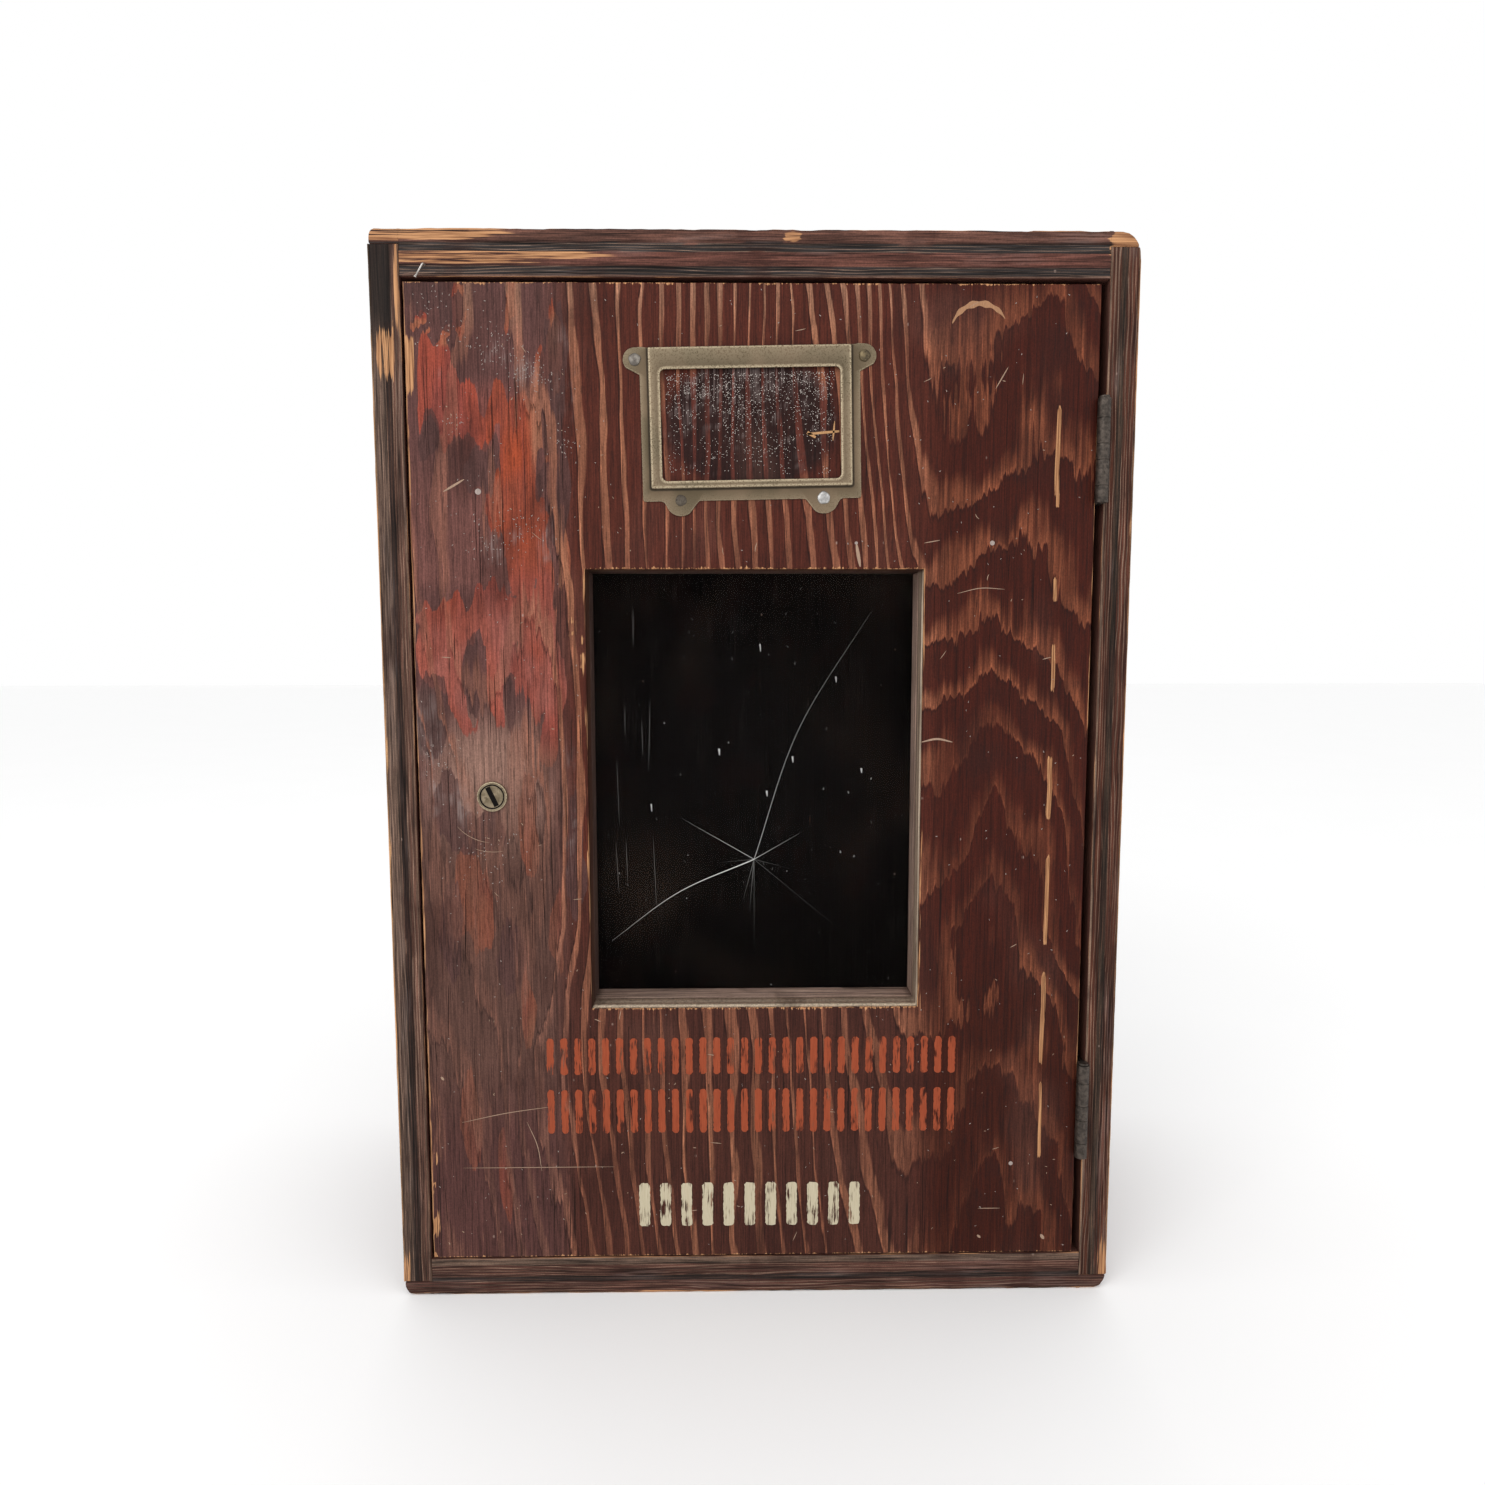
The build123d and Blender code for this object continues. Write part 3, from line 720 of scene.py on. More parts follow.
def door_streak(x, z, card):
    """How strongly the pale rings show."""
    left = left_share(x)
    right = right_share(x)
    drift = smooth(rough(x / 45, z / 70, 19), -0.5, 0.5)
    on_left = 0.46 + 0.3 * smooth(x, -160, -125) + 0.15 * smooth(z, 600, 640)
    on_right = (0.14 + 0.38 * drift) * (0.55 + 0.45 * smooth(z, 170, 230))
    centre = (0.74 + 0.22 * drift) * (0.6 + 0.4 * smooth(z, 90, 200))
    strength = centre * (1 - left) * (1 - right) + on_left * left + on_right * right
    return strength * (1 - 0.6 * card)


def door_accent(x, z, card):
    """The colour of the pale rings."""
    left = left_share(x)
    right = right_share(x)
    fade = smooth(rough(x / 40, z / 60, 12), -0.3, 0.6)
    tones = [
        ((126, 82, 66), left * 0.9),
        ((108, 72, 60), left * smooth(-z, -380, -320)),
        ((138, 79, 54), right),
        ((142, 92, 68), (1 - left) * (1 - right) * fade),
        ((152, 116, 94), smooth(z, 610, 655) * (1 - right) * 0.5),
        ((112, 50, 40), card * 0.85),
    ]
    return paint(x.shape, tones, (126, 78, 58))


def door_worn(x, z):
    """Bare wood at the door's edges, in its long scratch and in its chips."""
    nib = rough(x / 9, z / 14, 13)
    from_left = x - DOOR_LOW[0]
    from_right = DOOR_HIGH[0] - x
    from_top = DOOR_HIGH[2] - z
    from_base = z - DOOR_LOW[2]
    worn = 0.62 * (1 - smooth(from_left, 0.4, 2.6 + 1.5 * nib))
    chipped = smooth(rough(x / 14, z * 0 + 2.5, 10), -0.1, 0.4)
    bite = 2.0 + 5 * chipped * np.maximum(nib, 0)
    worn = np.maximum(worn, (0.42 + 0.2 * chipped) * (1 - smooth(from_top, 0.3, bite)))
    worn = np.maximum(worn, 0.42 * (1 - smooth(from_right, 0.2, 1.6)))
    worn = np.maximum(worn, 0.5 * (1 - smooth(from_base, 0.3, 2.0 + 2 * np.maximum(nib, 0))))
    strip = (1 - smooth(from_left, 3.5, 7.5 + 2 * nib)) * smooth(z, 580, 592) * (1 - smooth(z, 618, 628))
    worn = np.maximum(worn, 0.72 * strip)
    chip = (1 - smooth(from_left, 1.5, 6.5 + 4 * nib)) * (1 - smooth(z, 92, 112))
    worn = np.maximum(worn, 0.95 * chip * smooth(rough(x / 6, z / 12, 14), -0.25, 0.05))
    reveal = window_edge(x, z)
    worn = np.maximum(worn, 0.52 * (1 - smooth(reveal, 0.4, 2.4 + 1.8 * nib)))
    gold = smooth(blob(x, z, (-114, 432, 9, 40)), 0, 0.5) * smooth(rough(x / 5, z / 9, 15), 0.0, 0.5)
    worn = np.maximum(worn, 0.6 * gold)
    for cx, low, high, width in PALE_SPANS:
        centre = cx + 0.8 * noise(z * 0 + 1.5, z / 18, 5)
        span = smooth(z, low - 1, low + 5) * (1 - smooth(z, high - 5, high + 1))
        line = 1 - smooth(np.abs(x - centre), width * 0.30, width * 0.75 + 0.4)
        worn = np.maximum(worn, span * line * 0.95)
    return worn


def window_edge(x, z):
    """Distance outwards from the window's edge."""
    dx = np.maximum(WINDOW_LEFT - x, x - WINDOW_RIGHT)
    dz = np.maximum(WINDOW_BOTTOM - z, z - WINDOW_TOP)
    return np.maximum(dx, dz)


def door_grey(x, z):
    """Pale scuffed places on the lock side."""
    spots = ((-160, 612, 14, 12), (-142, 600, 12, 12), (-164, 494, 14, 14), (-208, 388, 10, 22),
             (-150, 500, 10, 8), (-190, 330, 14, 22), (-120, 330, 6, 60), (-190, 600, 8, 6),
             (-118, 600, 10, 40), (-206, 350, 12, 50), (-132, 500, 8, 30))
    out = np.zeros_like(x)
    for spot in spots:
        out = np.maximum(out, smooth(blob(x, z, spot), 0, 0.9) * 0.55)
    card = 0.34 * in_card(x, z) * smooth(rough(x / 4, z / 4, 9) + (z - HOLDER_Z) / 90, 0.0, 0.6)
    return np.maximum(out * smooth(rough(x / 5, z / 8, 2), -0.3, 0.5), card)


def door_fields(points):
    """All fields of the door's board."""
    x, y, z = points.T
    left = left_share(x)
    right = right_share(x)
    back = smooth(y, FRONT + 4, FRONT + 8)
    inside_window = smooth(-window_edge(x, z), -0.6, -0.1) * (y > FRONT + 0.4)
    card = in_card(x, z) * (1 - back)
    tone = door_tone(x, z, card)
    ply = np.where(np.abs(((y - FRONT) / 3.81) % 2 - 0.5) < 0.5, 1.0, 0.0)
    # The window's reveals are lit and shaded copies of the ply edge: pale as painted light on the bottom and
    # right, dark as painted shade on the top and left.
    top_reveal_shade = smooth(z, WINDOW_TOP - 0.6, WINDOW_TOP - 0.1)
    painted_reveal_shade = np.maximum(top_reveal_shade, smooth(-x, -WINDOW_LEFT - 0.6, -WINDOW_LEFT - 0.1))
    reveal = paint(x.shape, [((196, 174, 150), ply), ((58, 36, 28), painted_reveal_shade)], (236, 216, 190))
    tone = tone * (1 - inside_window[:, None]) + reveal * inside_window[:, None]
    rim = smooth(np.abs(x), 0, 1) * (y > FRONT + 0.6) * (window_edge(x, z) > 1) * (y < DOOR_HIGH[1] - 0.4)
    sides = paint(x.shape, [((104, 80, 66), ply)], (78, 54, 46))
    tone = tone * (1 - rim[:, None]) + sides * rim[:, None]
    inner = paint(x.shape, [((96, 70, 58), smooth(rough(x / 30, z / 120, 5), -0.4, 0.6))], (78, 52, 42))
    tone = tone * (1 - back[:, None] * 0.7) + inner * back[:, None] * 0.7
    front = 1 - np.clip(inside_window + rim, 0, 1)
    glow = 0.72 + 0.28 * smooth(rough(x / 30, z / 50, 11), -0.4, 0.4)
    return {
        "tone": tone,
        "accent": door_accent(x, z, card),
        "phase": door_phase(x, z),
        "tooth": 0.16 + 0.34 * right + 0.5 * left,
        "soft": 0.85 * right + 0.12 * left,
        "streak": front * door_streak(x, z, card),
        "crisp": 0.18 + 0.3 * (1 - front),
        "glow": glow * (0.5 + 0.5 * smooth(z, 345, 395)),
        "ember": door_ember(x, z),
        "dusk": front * spot_field(x, z, DUSK_SPOTS, 12) * (1 - back),
        "patch": front * spot_field(x, z, RED_SPOTS + TAN_SPOTS, 8, DARK_SPOTS) * (1 - back),
        "worn": door_worn(x, z) * front * (1 - back),
        "grey": door_grey(x, z) * front * (1 - back),
    }


def build_door(material):
    """The door's board with its window, its lock hole and its worn edges."""
    xs = lines(
        DOOR_LOW[0] + INSET, DOOR_HIGH[0] - INSET, 2.6, (0.35, 0.9, 1.6, 2.4, 3.4, 4.6, 6.0, 7.5, 9.0),
        [WINDOW_LEFT, WINDOW_RIGHT] + [WINDOW_LEFT - d for d in (0.4, 1.0, 2.0, 3.4)]
        + [WINDOW_RIGHT + d for d in (0.4, 1.0, 2.0, 3.4)]
        + list(np.arange(182.5, 194, 0.8)) + list(LOCK_X + np.arange(-10, 10.1, 1.25)),
    )
    zs = lines(
        DOOR_LOW[2] + INSET, DOOR_HIGH[2] - INSET, 2.6, (0.35, 0.9, 1.6, 2.6, 4.0),
        [WINDOW_BOTTOM, WINDOW_TOP] + [WINDOW_BOTTOM - d for d in (0.4, 1.0, 2.0)]
        + [WINDOW_TOP + d for d in (0.4, 1.0, 2.0)] + list(LOCK_Z + np.arange(-10, 10.1, 1.25)),
    )
    ys = np.array([0.0, 0.8, 2.4, 3.81, 5.7, 7.62, 9.5, 11.43, 13.3, 15.24, 17.2, 18.9]) + FRONT + 0.03
    mid_x, mid_z = (xs[1:] + xs[:-1]) / 2, (zs[1:] + zs[:-1]) / 2
    gx, gz = np.meshgrid(mid_x, mid_z, indexing="ij")
    hole = window_edge(gx, gz) < 0
    hole |= np.hypot(gx - LOCK_X, gz - LOCK_Z) < 8.3
    filled = np.repeat(~hole[:, None, :], len(ys) - 1, 1)
    points, faces = lattice_shell(xs, ys, zs, filled)
    fields = door_fields(points)
    x, y, z = points.T
    outer = np.minimum.reduce([x - DOOR_LOW[0], DOOR_HIGH[0] - x, z - DOOR_LOW[2], DOOR_HIGH[2] - z])
    near = np.minimum(outer, np.maximum(window_edge(x, z), 0))
    nib = rough(x / 6, z / 6, 6)
    radius = 0.9 + 0.5 * nib
    gap = np.clip(radius - near, 0, None)
    drop = radius - np.sqrt(np.maximum(radius ** 2 - gap ** 2, 0))
    drop = drop + 0.5 * smooth(fields["worn"], 0.55, 0.8)
    wave = 0.10 * rough(x / 40, z / 120, 3)
    is_front = y < FRONT + 0.4
    points[:, 1] += np.where(is_front, drop + np.maximum(wave, 0), 0)
    bite = np.where(near < 0.2, 0.35 * np.maximum(rough(z / 7 + x / 7, y / 5, 4), 0), 0)
    points[:, 0] += np.where((near < 0.2) & (x - DOOR_LOW[0] < 0.3), bite, 0)
    points[:, 2] -= np.where((near < 0.2) & (DOOR_HIGH[2] - z < 0.3), bite, 0)
    door = make_piece("door_board", points, faces, material, fields)
    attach(door, "door")
    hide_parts("door_panel")


# The case

PROUD = 0.1  # how far the back board stands out of the case boards that house it
TOP_PLIES = (8.4, 13.6, 22.0, 27.2)
SIDE_PLIES = (1.2, 8.6, 12.4, 17.6)
SOLE_PLIES = (1.4, 9.0, 12.6, 20.5)


def ply_number(depth, plies):
    """Which ply a depth below the outer face lies in."""
    return sum((depth > edge).astype(int) for edge in plies)


def end_grain_fields(x, z, depth, along_axis, plies, colours, wander):
    """Fields of a board's front edge, where its plies show."""
    run = x if along_axis == 0 else z
    wobble = 0.55 * rough(run / 30, depth / 30, wander)
    number = ply_number(depth + wobble, plies)
    tone = np.zeros((len(x), 3))
    for i, colour in enumerate(colours):
        tone[number == i] = linear(colour)
    mottle = 1 + 0.30 * rough(run / 24, depth / 2.5, wander + 1)[:, None]
    for edge in plies:
        seam = 1 - smooth(np.abs(depth + wobble - edge), 0.15, 0.6)
        mottle = mottle * (1 - 0.55 * seam * smooth(rough(run / 60, depth, wander + 2), -0.5, 0.1))[:, None]
    return tone * mottle, (number % 2 == 1).astype(float)


def board_fields(original, axis, thickness_axis, outer, plies, colours, wander):
    """Fields of one case board: plies on its front edge, stained face grain elsewhere."""
    x, y, z = original.T
    depth = np.abs(original[:, thickness_axis] - outer)
    edge = (y < FRONT + 0.05) | (y > CASE_HIGH[1] - 0.2)
    buried = depth > plies[-1] + 0.9
    tone_edge, hatch = end_grain_fields(x, z, depth, axis, plies, colours, wander)
    run, side = (x, y) if axis == 0 else (z, y)
    low = rough(side / 40, run / 160, wander + 2)
    face = paint(
        x.shape,
        [((62, 36, 30), smooth(low, 0.1, 0.8)), ((112, 82, 70), smooth(-low, 0.25, 0.8) * 0.7)],
        (84, 54, 46),
    )
    inner = paint(x.shape, [((10, 9, 8), smooth(low, 0, 0.8))], (18, 15, 14))
    face = np.where((buried & (y > FRONT + 26))[:, None], inner, face)
    tone = np.where(edge[:, None], tone_edge, face)
    phase = side / 15 + 0.8 * noise(side / 40, run / 170, wander)
    phase = phase + 0.3 * rough(side / 15, run / 80, wander + 3) - run / 260
    strata = depth / 1.9 + 0.5 * rough(run / 30, depth / 4, wander + 6)
    strata = strata + 0.9 * noise(run / 90, depth / 9, wander)
    phase = np.where(edge, strata, phase)
    nib = rough(run / 11, y / 7, wander + 4)
    from_edge = np.minimum(np.abs(y - FRONT), np.abs(CASE_HIGH[1] - y))
    worn = 0.5 * (1 - smooth(from_edge, 0.2, 2.2 + 1.6 * nib)) * (~edge)
    rim = (1 - smooth(depth, 0.3, 1.5 + 1.1 * nib)) * edge
    worn = np.maximum(worn, 0.62 * rim)
    return {
        "tone": tone,
        "accent": paint(x.shape, [((114, 92, 78), edge & (hatch > 0))], (130, 88, 66)),
        "phase": phase,
        "tooth": np.where(edge, 0.25, 0.5),
        "streak": np.where(edge, 0.12 + 0.55 * hatch, np.where(buried, 0.0, 0.7)),
        "crisp": np.where(edge, 0.9, 0.15),
        "worn": worn,
        "grey": 0.16 * (~buried | edge) * smooth(rough(run / 40, depth / 6 + y / 30, wander + 5), 0.1, 0.7),
    }


def worn_block(low, high, axis, thickness_axis, plies, outer):
    """A case board's surface: a lattice box with uneven rounded edges."""
    cuts = []
    for i in range(3):
        if i == thickness_axis:
            marks = [outer + side * (p + d) for p in plies for d in (-0.3, 0.3) for side in (-1, 1)]
            cuts.append(lines(low[i], high[i], 2.0, (0.35, 0.9), marks))
        elif i == 1:
            cuts.append(lines(low[i], high[i], 9.0))
        else:
            cuts.append(lines(low[i], high[i], 4.0))
    original, faces = lattice_shell(*cuts)
    run = original[:, axis]
    nib = rough(run / 9, original[:, 1] / 9 + original[:, thickness_axis] / 5, 7)
    size = np.clip(1.0 + 0.5 * nib, 0.05, None)
    return original, faces, size


def add_relief(points, original, plies, outer, thickness_axis, axis):
    """Set back the softer plies and roughen the front edge."""
    depth = np.abs(original[:, thickness_axis] - outer)
    run = original[:, axis]
    number = ply_number(depth + 0.4 * rough(run / 30, depth / 30, 3), plies)
    front = np.abs(points[:, 1] - FRONT) < 0.4
    sink = 0.35 * (number % 2) + 0.25 * np.maximum(rough(run / 14, depth / 2, 9), 0)
    points[:, 1] += np.where(front, sink, 0)
    return points


def wear(fields, amount):
    """Raise the worn field to at least an amount."""
    fields["worn"] = np.maximum(fields["worn"], amount)


def build_side(name, low, high, outer, side, colours, material):
    """A side board of the case."""
    low, high = low + INSET, high - INSET
    low[1] -= INSET
    original, faces, size = worn_block(low, high, 2, 0, SIDE_PLIES, outer)
    ends = np.minimum(original[:, 2] - low[2], high[2] - original[:, 2])
    size = np.where(ends < 6, 0.35, size)
    points = round_edges(original, low, high, size)
    points = add_relief(points, original, SIDE_PLIES, outer, 0, 2)
    points = round_outline(points)
    fields = board_fields(original, 2, 0, outer, SIDE_PLIES, colours, 0 if side < 0 else 4)
    x, y, z = original.T
    if side < 0:
        black = smooth(z, 596, 640) * (1 - smooth(x, -222.5, -221.5)) * (y < FRONT + 30)
        stain = 0.9 * black[:, None]
        fields["tone"] = fields["tone"] * (1 - stain) + linear((26, 20, 17)) * stain
        for key in ("worn", "streak", "grey"):
            fields[key] = fields[key] * (1 - black)
        tan = smooth(z, 560, 660) * smooth(x, -222.3, -221.6) * (y < FRONT + 1)
        wear(fields, 0.55 * tan)
        gold = smooth(blob(x, z, (-228, 612, 9, 26)), 0, 0.6) * (y < FRONT + 2)
        wear(fields, 0.62 * gold)
    foot = (1 - smooth(z, 16, 60)) * (1 - smooth(np.abs(x - outer), 4, 9))
    wear(fields, 0.6 * foot * (y < FRONT + 8))
    piece = make_piece(name, points, faces, material, fields)
    node = ("left" if side < 0 else "right") + "_side_panel"
    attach(piece, "case")
    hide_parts(node)


def build_end(name, node, low, high, top, colours, material):
    """The top or bottom board: a full block between the sides and a tongue over each side."""
    outer = CASE_TOP if top else CASE_BASE
    inner_x = LEFT_HIGH[0]
    step_z = LEFT_HIGH[2] if top else LEFT_LOW[2]
    plies = TOP_PLIES if top else SOLE_PLIES
    parts = []
    z0, z1 = (low[2] + INSET, high[2] - INSET)
    parts.append((np.array([inner_x, low[1], z0]), np.array([-inner_x, high[1] - INSET, z1])))
    for side in (-1, 1):
        x0, x1 = sorted((side * (CASE_HIGH[0] - INSET), side * abs(inner_x)))
        t0, t1 = (step_z + INSET, z1) if top else (z0, step_z - INSET)
        parts.append((np.array([x0, low[1], t0]), np.array([x1, high[1] - INSET, t1])))
    points, faces, originals, count = [], [], [], 0
    for part_low, part_high in parts:
        original, quads, size = worn_block(part_low, part_high, 0, 2, plies, outer)
        seam = np.minimum(np.abs(original[:, 0] - inner_x), np.abs(original[:, 0] + inner_x)) < 1.6
        size = np.where(seam, 0.05, size)
        placed = round_edges(original, part_low, part_high, size)
        placed = add_relief(placed, original, plies, outer, 2, 0)
        points.append(placed)
        originals.append(original)
        faces.append(quads + count)
        count += len(original)
    points, original, faces = np.concatenate(points), np.concatenate(originals), np.concatenate(faces)
    x, y, z = original.T
    ragged = np.maximum(rough(x / 16, y / 20, 11), 0) * 1.1 + np.maximum(rough(x / 5, y / 7, 12), 0) * 0.7
    at_outer = np.abs(z - outer) < 0.6
    edge_only = 1 - smooth(np.abs(y - FRONT), 1, 14)
    points[:, 2] -= np.where(at_outer, ragged * edge_only * (1 if top else -1), 0)
    points = round_outline(points)
    fields = board_fields(original, 0, 2, outer, plies, colours, 8)
    depth = np.abs(z - outer)
    if top:
        left_end = 1 - smooth(x, -150 + 60 * rough(x / 50, depth / 4, 13), -60)
        first = (depth < 8.0) * (1 - smooth(x, -190, -120 + 40 * rough(x / 20, depth / 3, 14)))
        third = ((depth > 13.6) & (depth < 21.6)) * left_end
        bare = np.maximum(first * 0.66, third * 0.60) * (y < FRONT + 1.4)
        wear(fields, bare)
        corner = smooth(blob(x, z, (229, 677, 17, 17)), 0, 0.5)
        wear(fields, 0.85 * corner * (y < FRONT + 25))
        mark = smooth(blob(x, z, (22, 681, 9, 5)), 0, 0.5)
        wear(fields, 0.7 * mark * (y < FRONT + 3))
    else:
        low_edge = 1 - smooth(depth, 0.5, 3.2 + 1.5 * rough(x / 12, depth, 13))
        wear(fields, 0.5 * low_edge * (y < FRONT + 2))
    piece = make_piece(name, points, faces, material, fields)
    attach(piece, "case")
    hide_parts(node)


def facing_window(points, body):
    """1 on the faces of the glazing strips that are seen through the pane, where painted light is added."""
    near = np.abs(window_edge(points[:, 0], points[:, 2])) < 0.5
    return (near & (body == "door")).astype(float)[:, None]


def plain_board(name, node, body, axis, tone, material, painted_light=(0, 0, 0), outside=None):
    """A hidden or inner strip of wood with softly rounded edges and its own grain, with painted light added
    on its faces that are seen through the pane.
    """
    low, high = box_mm(node)
    low, high = low + INSET, high - INSET
    if outside:
        high[1] += PROUD
    cuts = [lines(low[i], high[i], 6.0) for i in range(3)]
    original, faces = lattice_shell(*cuts)
    run = original[:, axis]
    other = original[:, (axis + 1) % 3] + original[:, (axis + 2) % 3]
    size = np.clip(0.5 + 0.3 * rough(run / 12, other / 12, 5), 0.1, None)
    points = round_edges(original, low, high, size)
    count = len(points)
    wobble = 0.8 * noise(other / 30, run / 140, 6)
    mottle = 1 + 0.25 * rough(run / 70, other / 14, 8)[:, None]
    rear = (original[:, 1] > high[1] - 0.1)[:, None]
    base = np.where(rear, linear(outside or tone), linear(tone))
    bright = np.where(rear, linear(brighter(outside or tone)), linear(brighter(tone)))
    # The faces seen through the pane get painted light added to the wood's tone.
    fields = {
        "tone": (base + facing_window(original, body) * linear(painted_light)) * mottle,
        "accent": bright,
        "phase": other / 9 + wobble,
        "tooth": np.full(count, 0.4),
        "streak": np.full(count, 0.5),
        "crisp": np.full(count, 0.3),
        "worn": np.full(count, 0.05),
        "grey": 0.2 * min(1, sum(tone) / 200) * smooth(rough(run / 30, other / 10, 9), 0.1, 0.7),
    }
    piece = make_piece(name, points, faces, material, fields)
    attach(piece, body)
    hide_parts(node)


# Marks on the door

def bar_marks(name, bars, material, seed):
    """Stencilled bars as thin films of paint: bars is a list of (x0, x1, z0, z1)."""
    rng = np.random.default_rng(seed)
    points, faces = [], []
    for x0, x1, z0, z1 in bars:
        columns = max(2, int((x1 - x0) / 1.2))
        rows = max(3, int((z1 - z0) / 1.6))
        start = len(points)
        for i in range(columns + 1):
            for j in range(rows + 1):
                x = x0 + (x1 - x0) * i / columns
                z = z0 + (z1 - z0) * j / rows
                side = (i in (0, columns)) or (j in (0, rows))
                wander = 0.28 if side else 0
                x += rng.uniform(-wander, wander)
                z += rng.uniform(-wander, wander)
                if i in (0, columns) and j in (0, rows):
                    x += 0.6 if i == 0 else -0.6
                    z += 0.6 if j == 0 else -0.6
                points.append((x, FRONT - 0.10, z))
        for i in range(columns):
            for j in range(rows):
                a = start + i * (rows + 1) + j
                b = a + rows + 1
                faces.append((a, b, b + 1, a + 1))
    points = np.array(points)
    fields = door_fields(points)
    fields["film"] = 0.12 * rough(points[:, 0] / 14, points[:, 2] / 14, 9)
    fields["worn"] = fields["worn"] * 0
    piece = make_piece(name, points, faces, material, fields)
    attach(piece, "door")


def bar_row(x0, x1, z0, z1, count, share):
    """Upright bars spread evenly between two ends."""
    pitch = (x1 - x0) / count
    lefts = [x0 + i * pitch for i in range(count)]
    return [(left, left + pitch * share, z0, z1) for left in lefts]


def build_marks(orange, cream):
    """Even rows of equal bars in place of the stencilled lettering."""
    middle = (WINDOW_LEFT + WINDOW_RIGHT) / 2
    bars = []
    for drop, height in ((20, 25), (55, 30)):
        top = WINDOW_BOTTOM - drop
        bars += bar_row(WINDOW_LEFT - 30, WINDOW_RIGHT + 30, top - height, top, 30, 0.5)
    bar_marks("orange_stencil_bars", bars, orange, 5)
    top = WINDOW_BOTTOM - 120
    bar_marks("cream_stencil_bars", bar_row(middle - 77, middle + 77, top - 30, top, 11, 0.5), cream, 6)


def taper(count, width, tip=0.25):
    """Widths that narrow towards both ends."""
    t = np.linspace(0, 1, count)
    return width * (tip + (1 - tip) * np.sin(math.pi * t) ** 0.7)


def fading(count, width):
    """Widths that narrow towards the far end."""
    t = np.linspace(0, 1, count)
    return width * (1 - 0.88 * t)


def end_of(x, z, length, angle):
    """The far end of a short stroke; the angle is in radians."""
    return x + length * math.cos(angle), z + length * math.sin(angle)


def bent_line(start, turn, reach, bow, count):
    """A line from start at an angle in degrees, bowed to its left by bow at the middle."""
    angle = math.radians(turn)
    ahead = np.array([math.cos(angle), math.sin(angle)])
    left = np.array([-ahead[1], ahead[0]])
    start = np.array(start, dtype=float)
    stops = [start, start + ahead * reach / 2 + left * bow, start + ahead * reach]
    return curve_through(stops, count)


def arc_track(x, z, radius, start, end, count=14):
    """An arc about a centre, between two angles in degrees."""
    t = np.radians(np.linspace(start, end, count))
    return np.stack([x + radius * np.cos(t), z + radius * np.sin(t)], 1)


def on_door(across, up):
    """The place at a share of the door's width and height."""
    x = DOOR_LOW[0] + across * (DOOR_HIGH[0] - DOOR_LOW[0])
    return x, DOOR_LOW[2] + up * (DOOR_HIGH[2] - DOOR_LOW[2])


def build_scratches(material, pale):
    """Scratches and chips in the door's face."""
    arch = arc_track(DOOR_HIGH[0] - 75, DOOR_HIGH[2] - 30, 18, 160, 30, 24)
    uneven = 1 + 0.3 * np.cos(np.arange(len(arch)) * 1.3)
    y = FRONT - 0.06
    piece = ribbons("door_pale_arch", [(arch, taper(len(arch), 3.6, 0.1) * uneven)], y, pale)
    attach(piece, "door")
    thin = []
    for radius, start, end, width in ((30, 220, 265, 0.35), (36, 250, 280, 0.3)):
        track = arc_track(LOCK_X, LOCK_Z, radius, start, end)
        thin.append((track, taper(len(track), width)))
    for across, up, turn, reach, bow, width in (
        (0.85, 0.90, 60, 15, 0, 0.7),
        (0.75, 0.55, 0, 20, 2, 1.3),
        (0.05, 0.15, 10, 60, 1, 0.5),
        (0.15, 0.15, 285, 35, 2, 0.5),
        (0.05, 0.10, 0, 100, 0, 0.45),
        (0.80, 0.70, 5, 30, 2, 0.5),
        (0.75, 0.75, 10, 10, 0, 0.6),
        (0.65, 0.75, 280, 15, 0, 2.2),
        (0.05, 0.80, 30, 15, 0, 1.4),
        (0.85, 0.05, 0, 15, 0, 0.5),
        (0.85, 0.02, 320, 3, 0, 1.6),
        (0.95, 0.02, 305, 4, 0, 2.2),
        (0.02, 0.20, 310, 3, 0, 1.6),
    ):
        track = bent_line(on_door(across, up), turn, reach, bow, 14)
        thin.append((track, taper(len(track), width)))
    for _ in range(150):
        x = RNG.uniform(DOOR_LOW[0] + 6, DOOR_HIGH[0] - 6)
        z = RNG.uniform(DOOR_LOW[2] + 6, DOOR_HIGH[2] - 6)
        if window_edge(np.array(x), np.array(z)) < 4 or (abs(x) < 75 and 520 < z < 620):
            continue
        length = RNG.uniform(0.8, 2.2) if RNG.uniform() < 0.7 else RNG.uniform(2.5, 8)
        angle = RNG.uniform(0, math.pi)
        end = end_of(x, z, length, angle)
        middle = ((x + end[0]) / 2 + RNG.uniform(-0.6, 0.6), (z + end[1]) / 2)
        if window_edge(np.array(end[0]), np.array(end[1])) < 1:
            continue
        track = curve_through([(x, z), middle, end], 6)
        thin.append((track, taper(6, RNG.uniform(0.25, 0.6))))
    piece = ribbons("door_scratches", thin, y - 0.02, material)
    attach(piece, "door")


def disc_track(x, z, radius):
    """A round spot as one short ribbon."""
    t = np.linspace(-1, 1, 9)
    track = np.stack([np.full(9, x), z + radius * t], 1)
    return track, 2 * radius * np.sqrt(np.maximum(1 - t ** 2, 0.01))


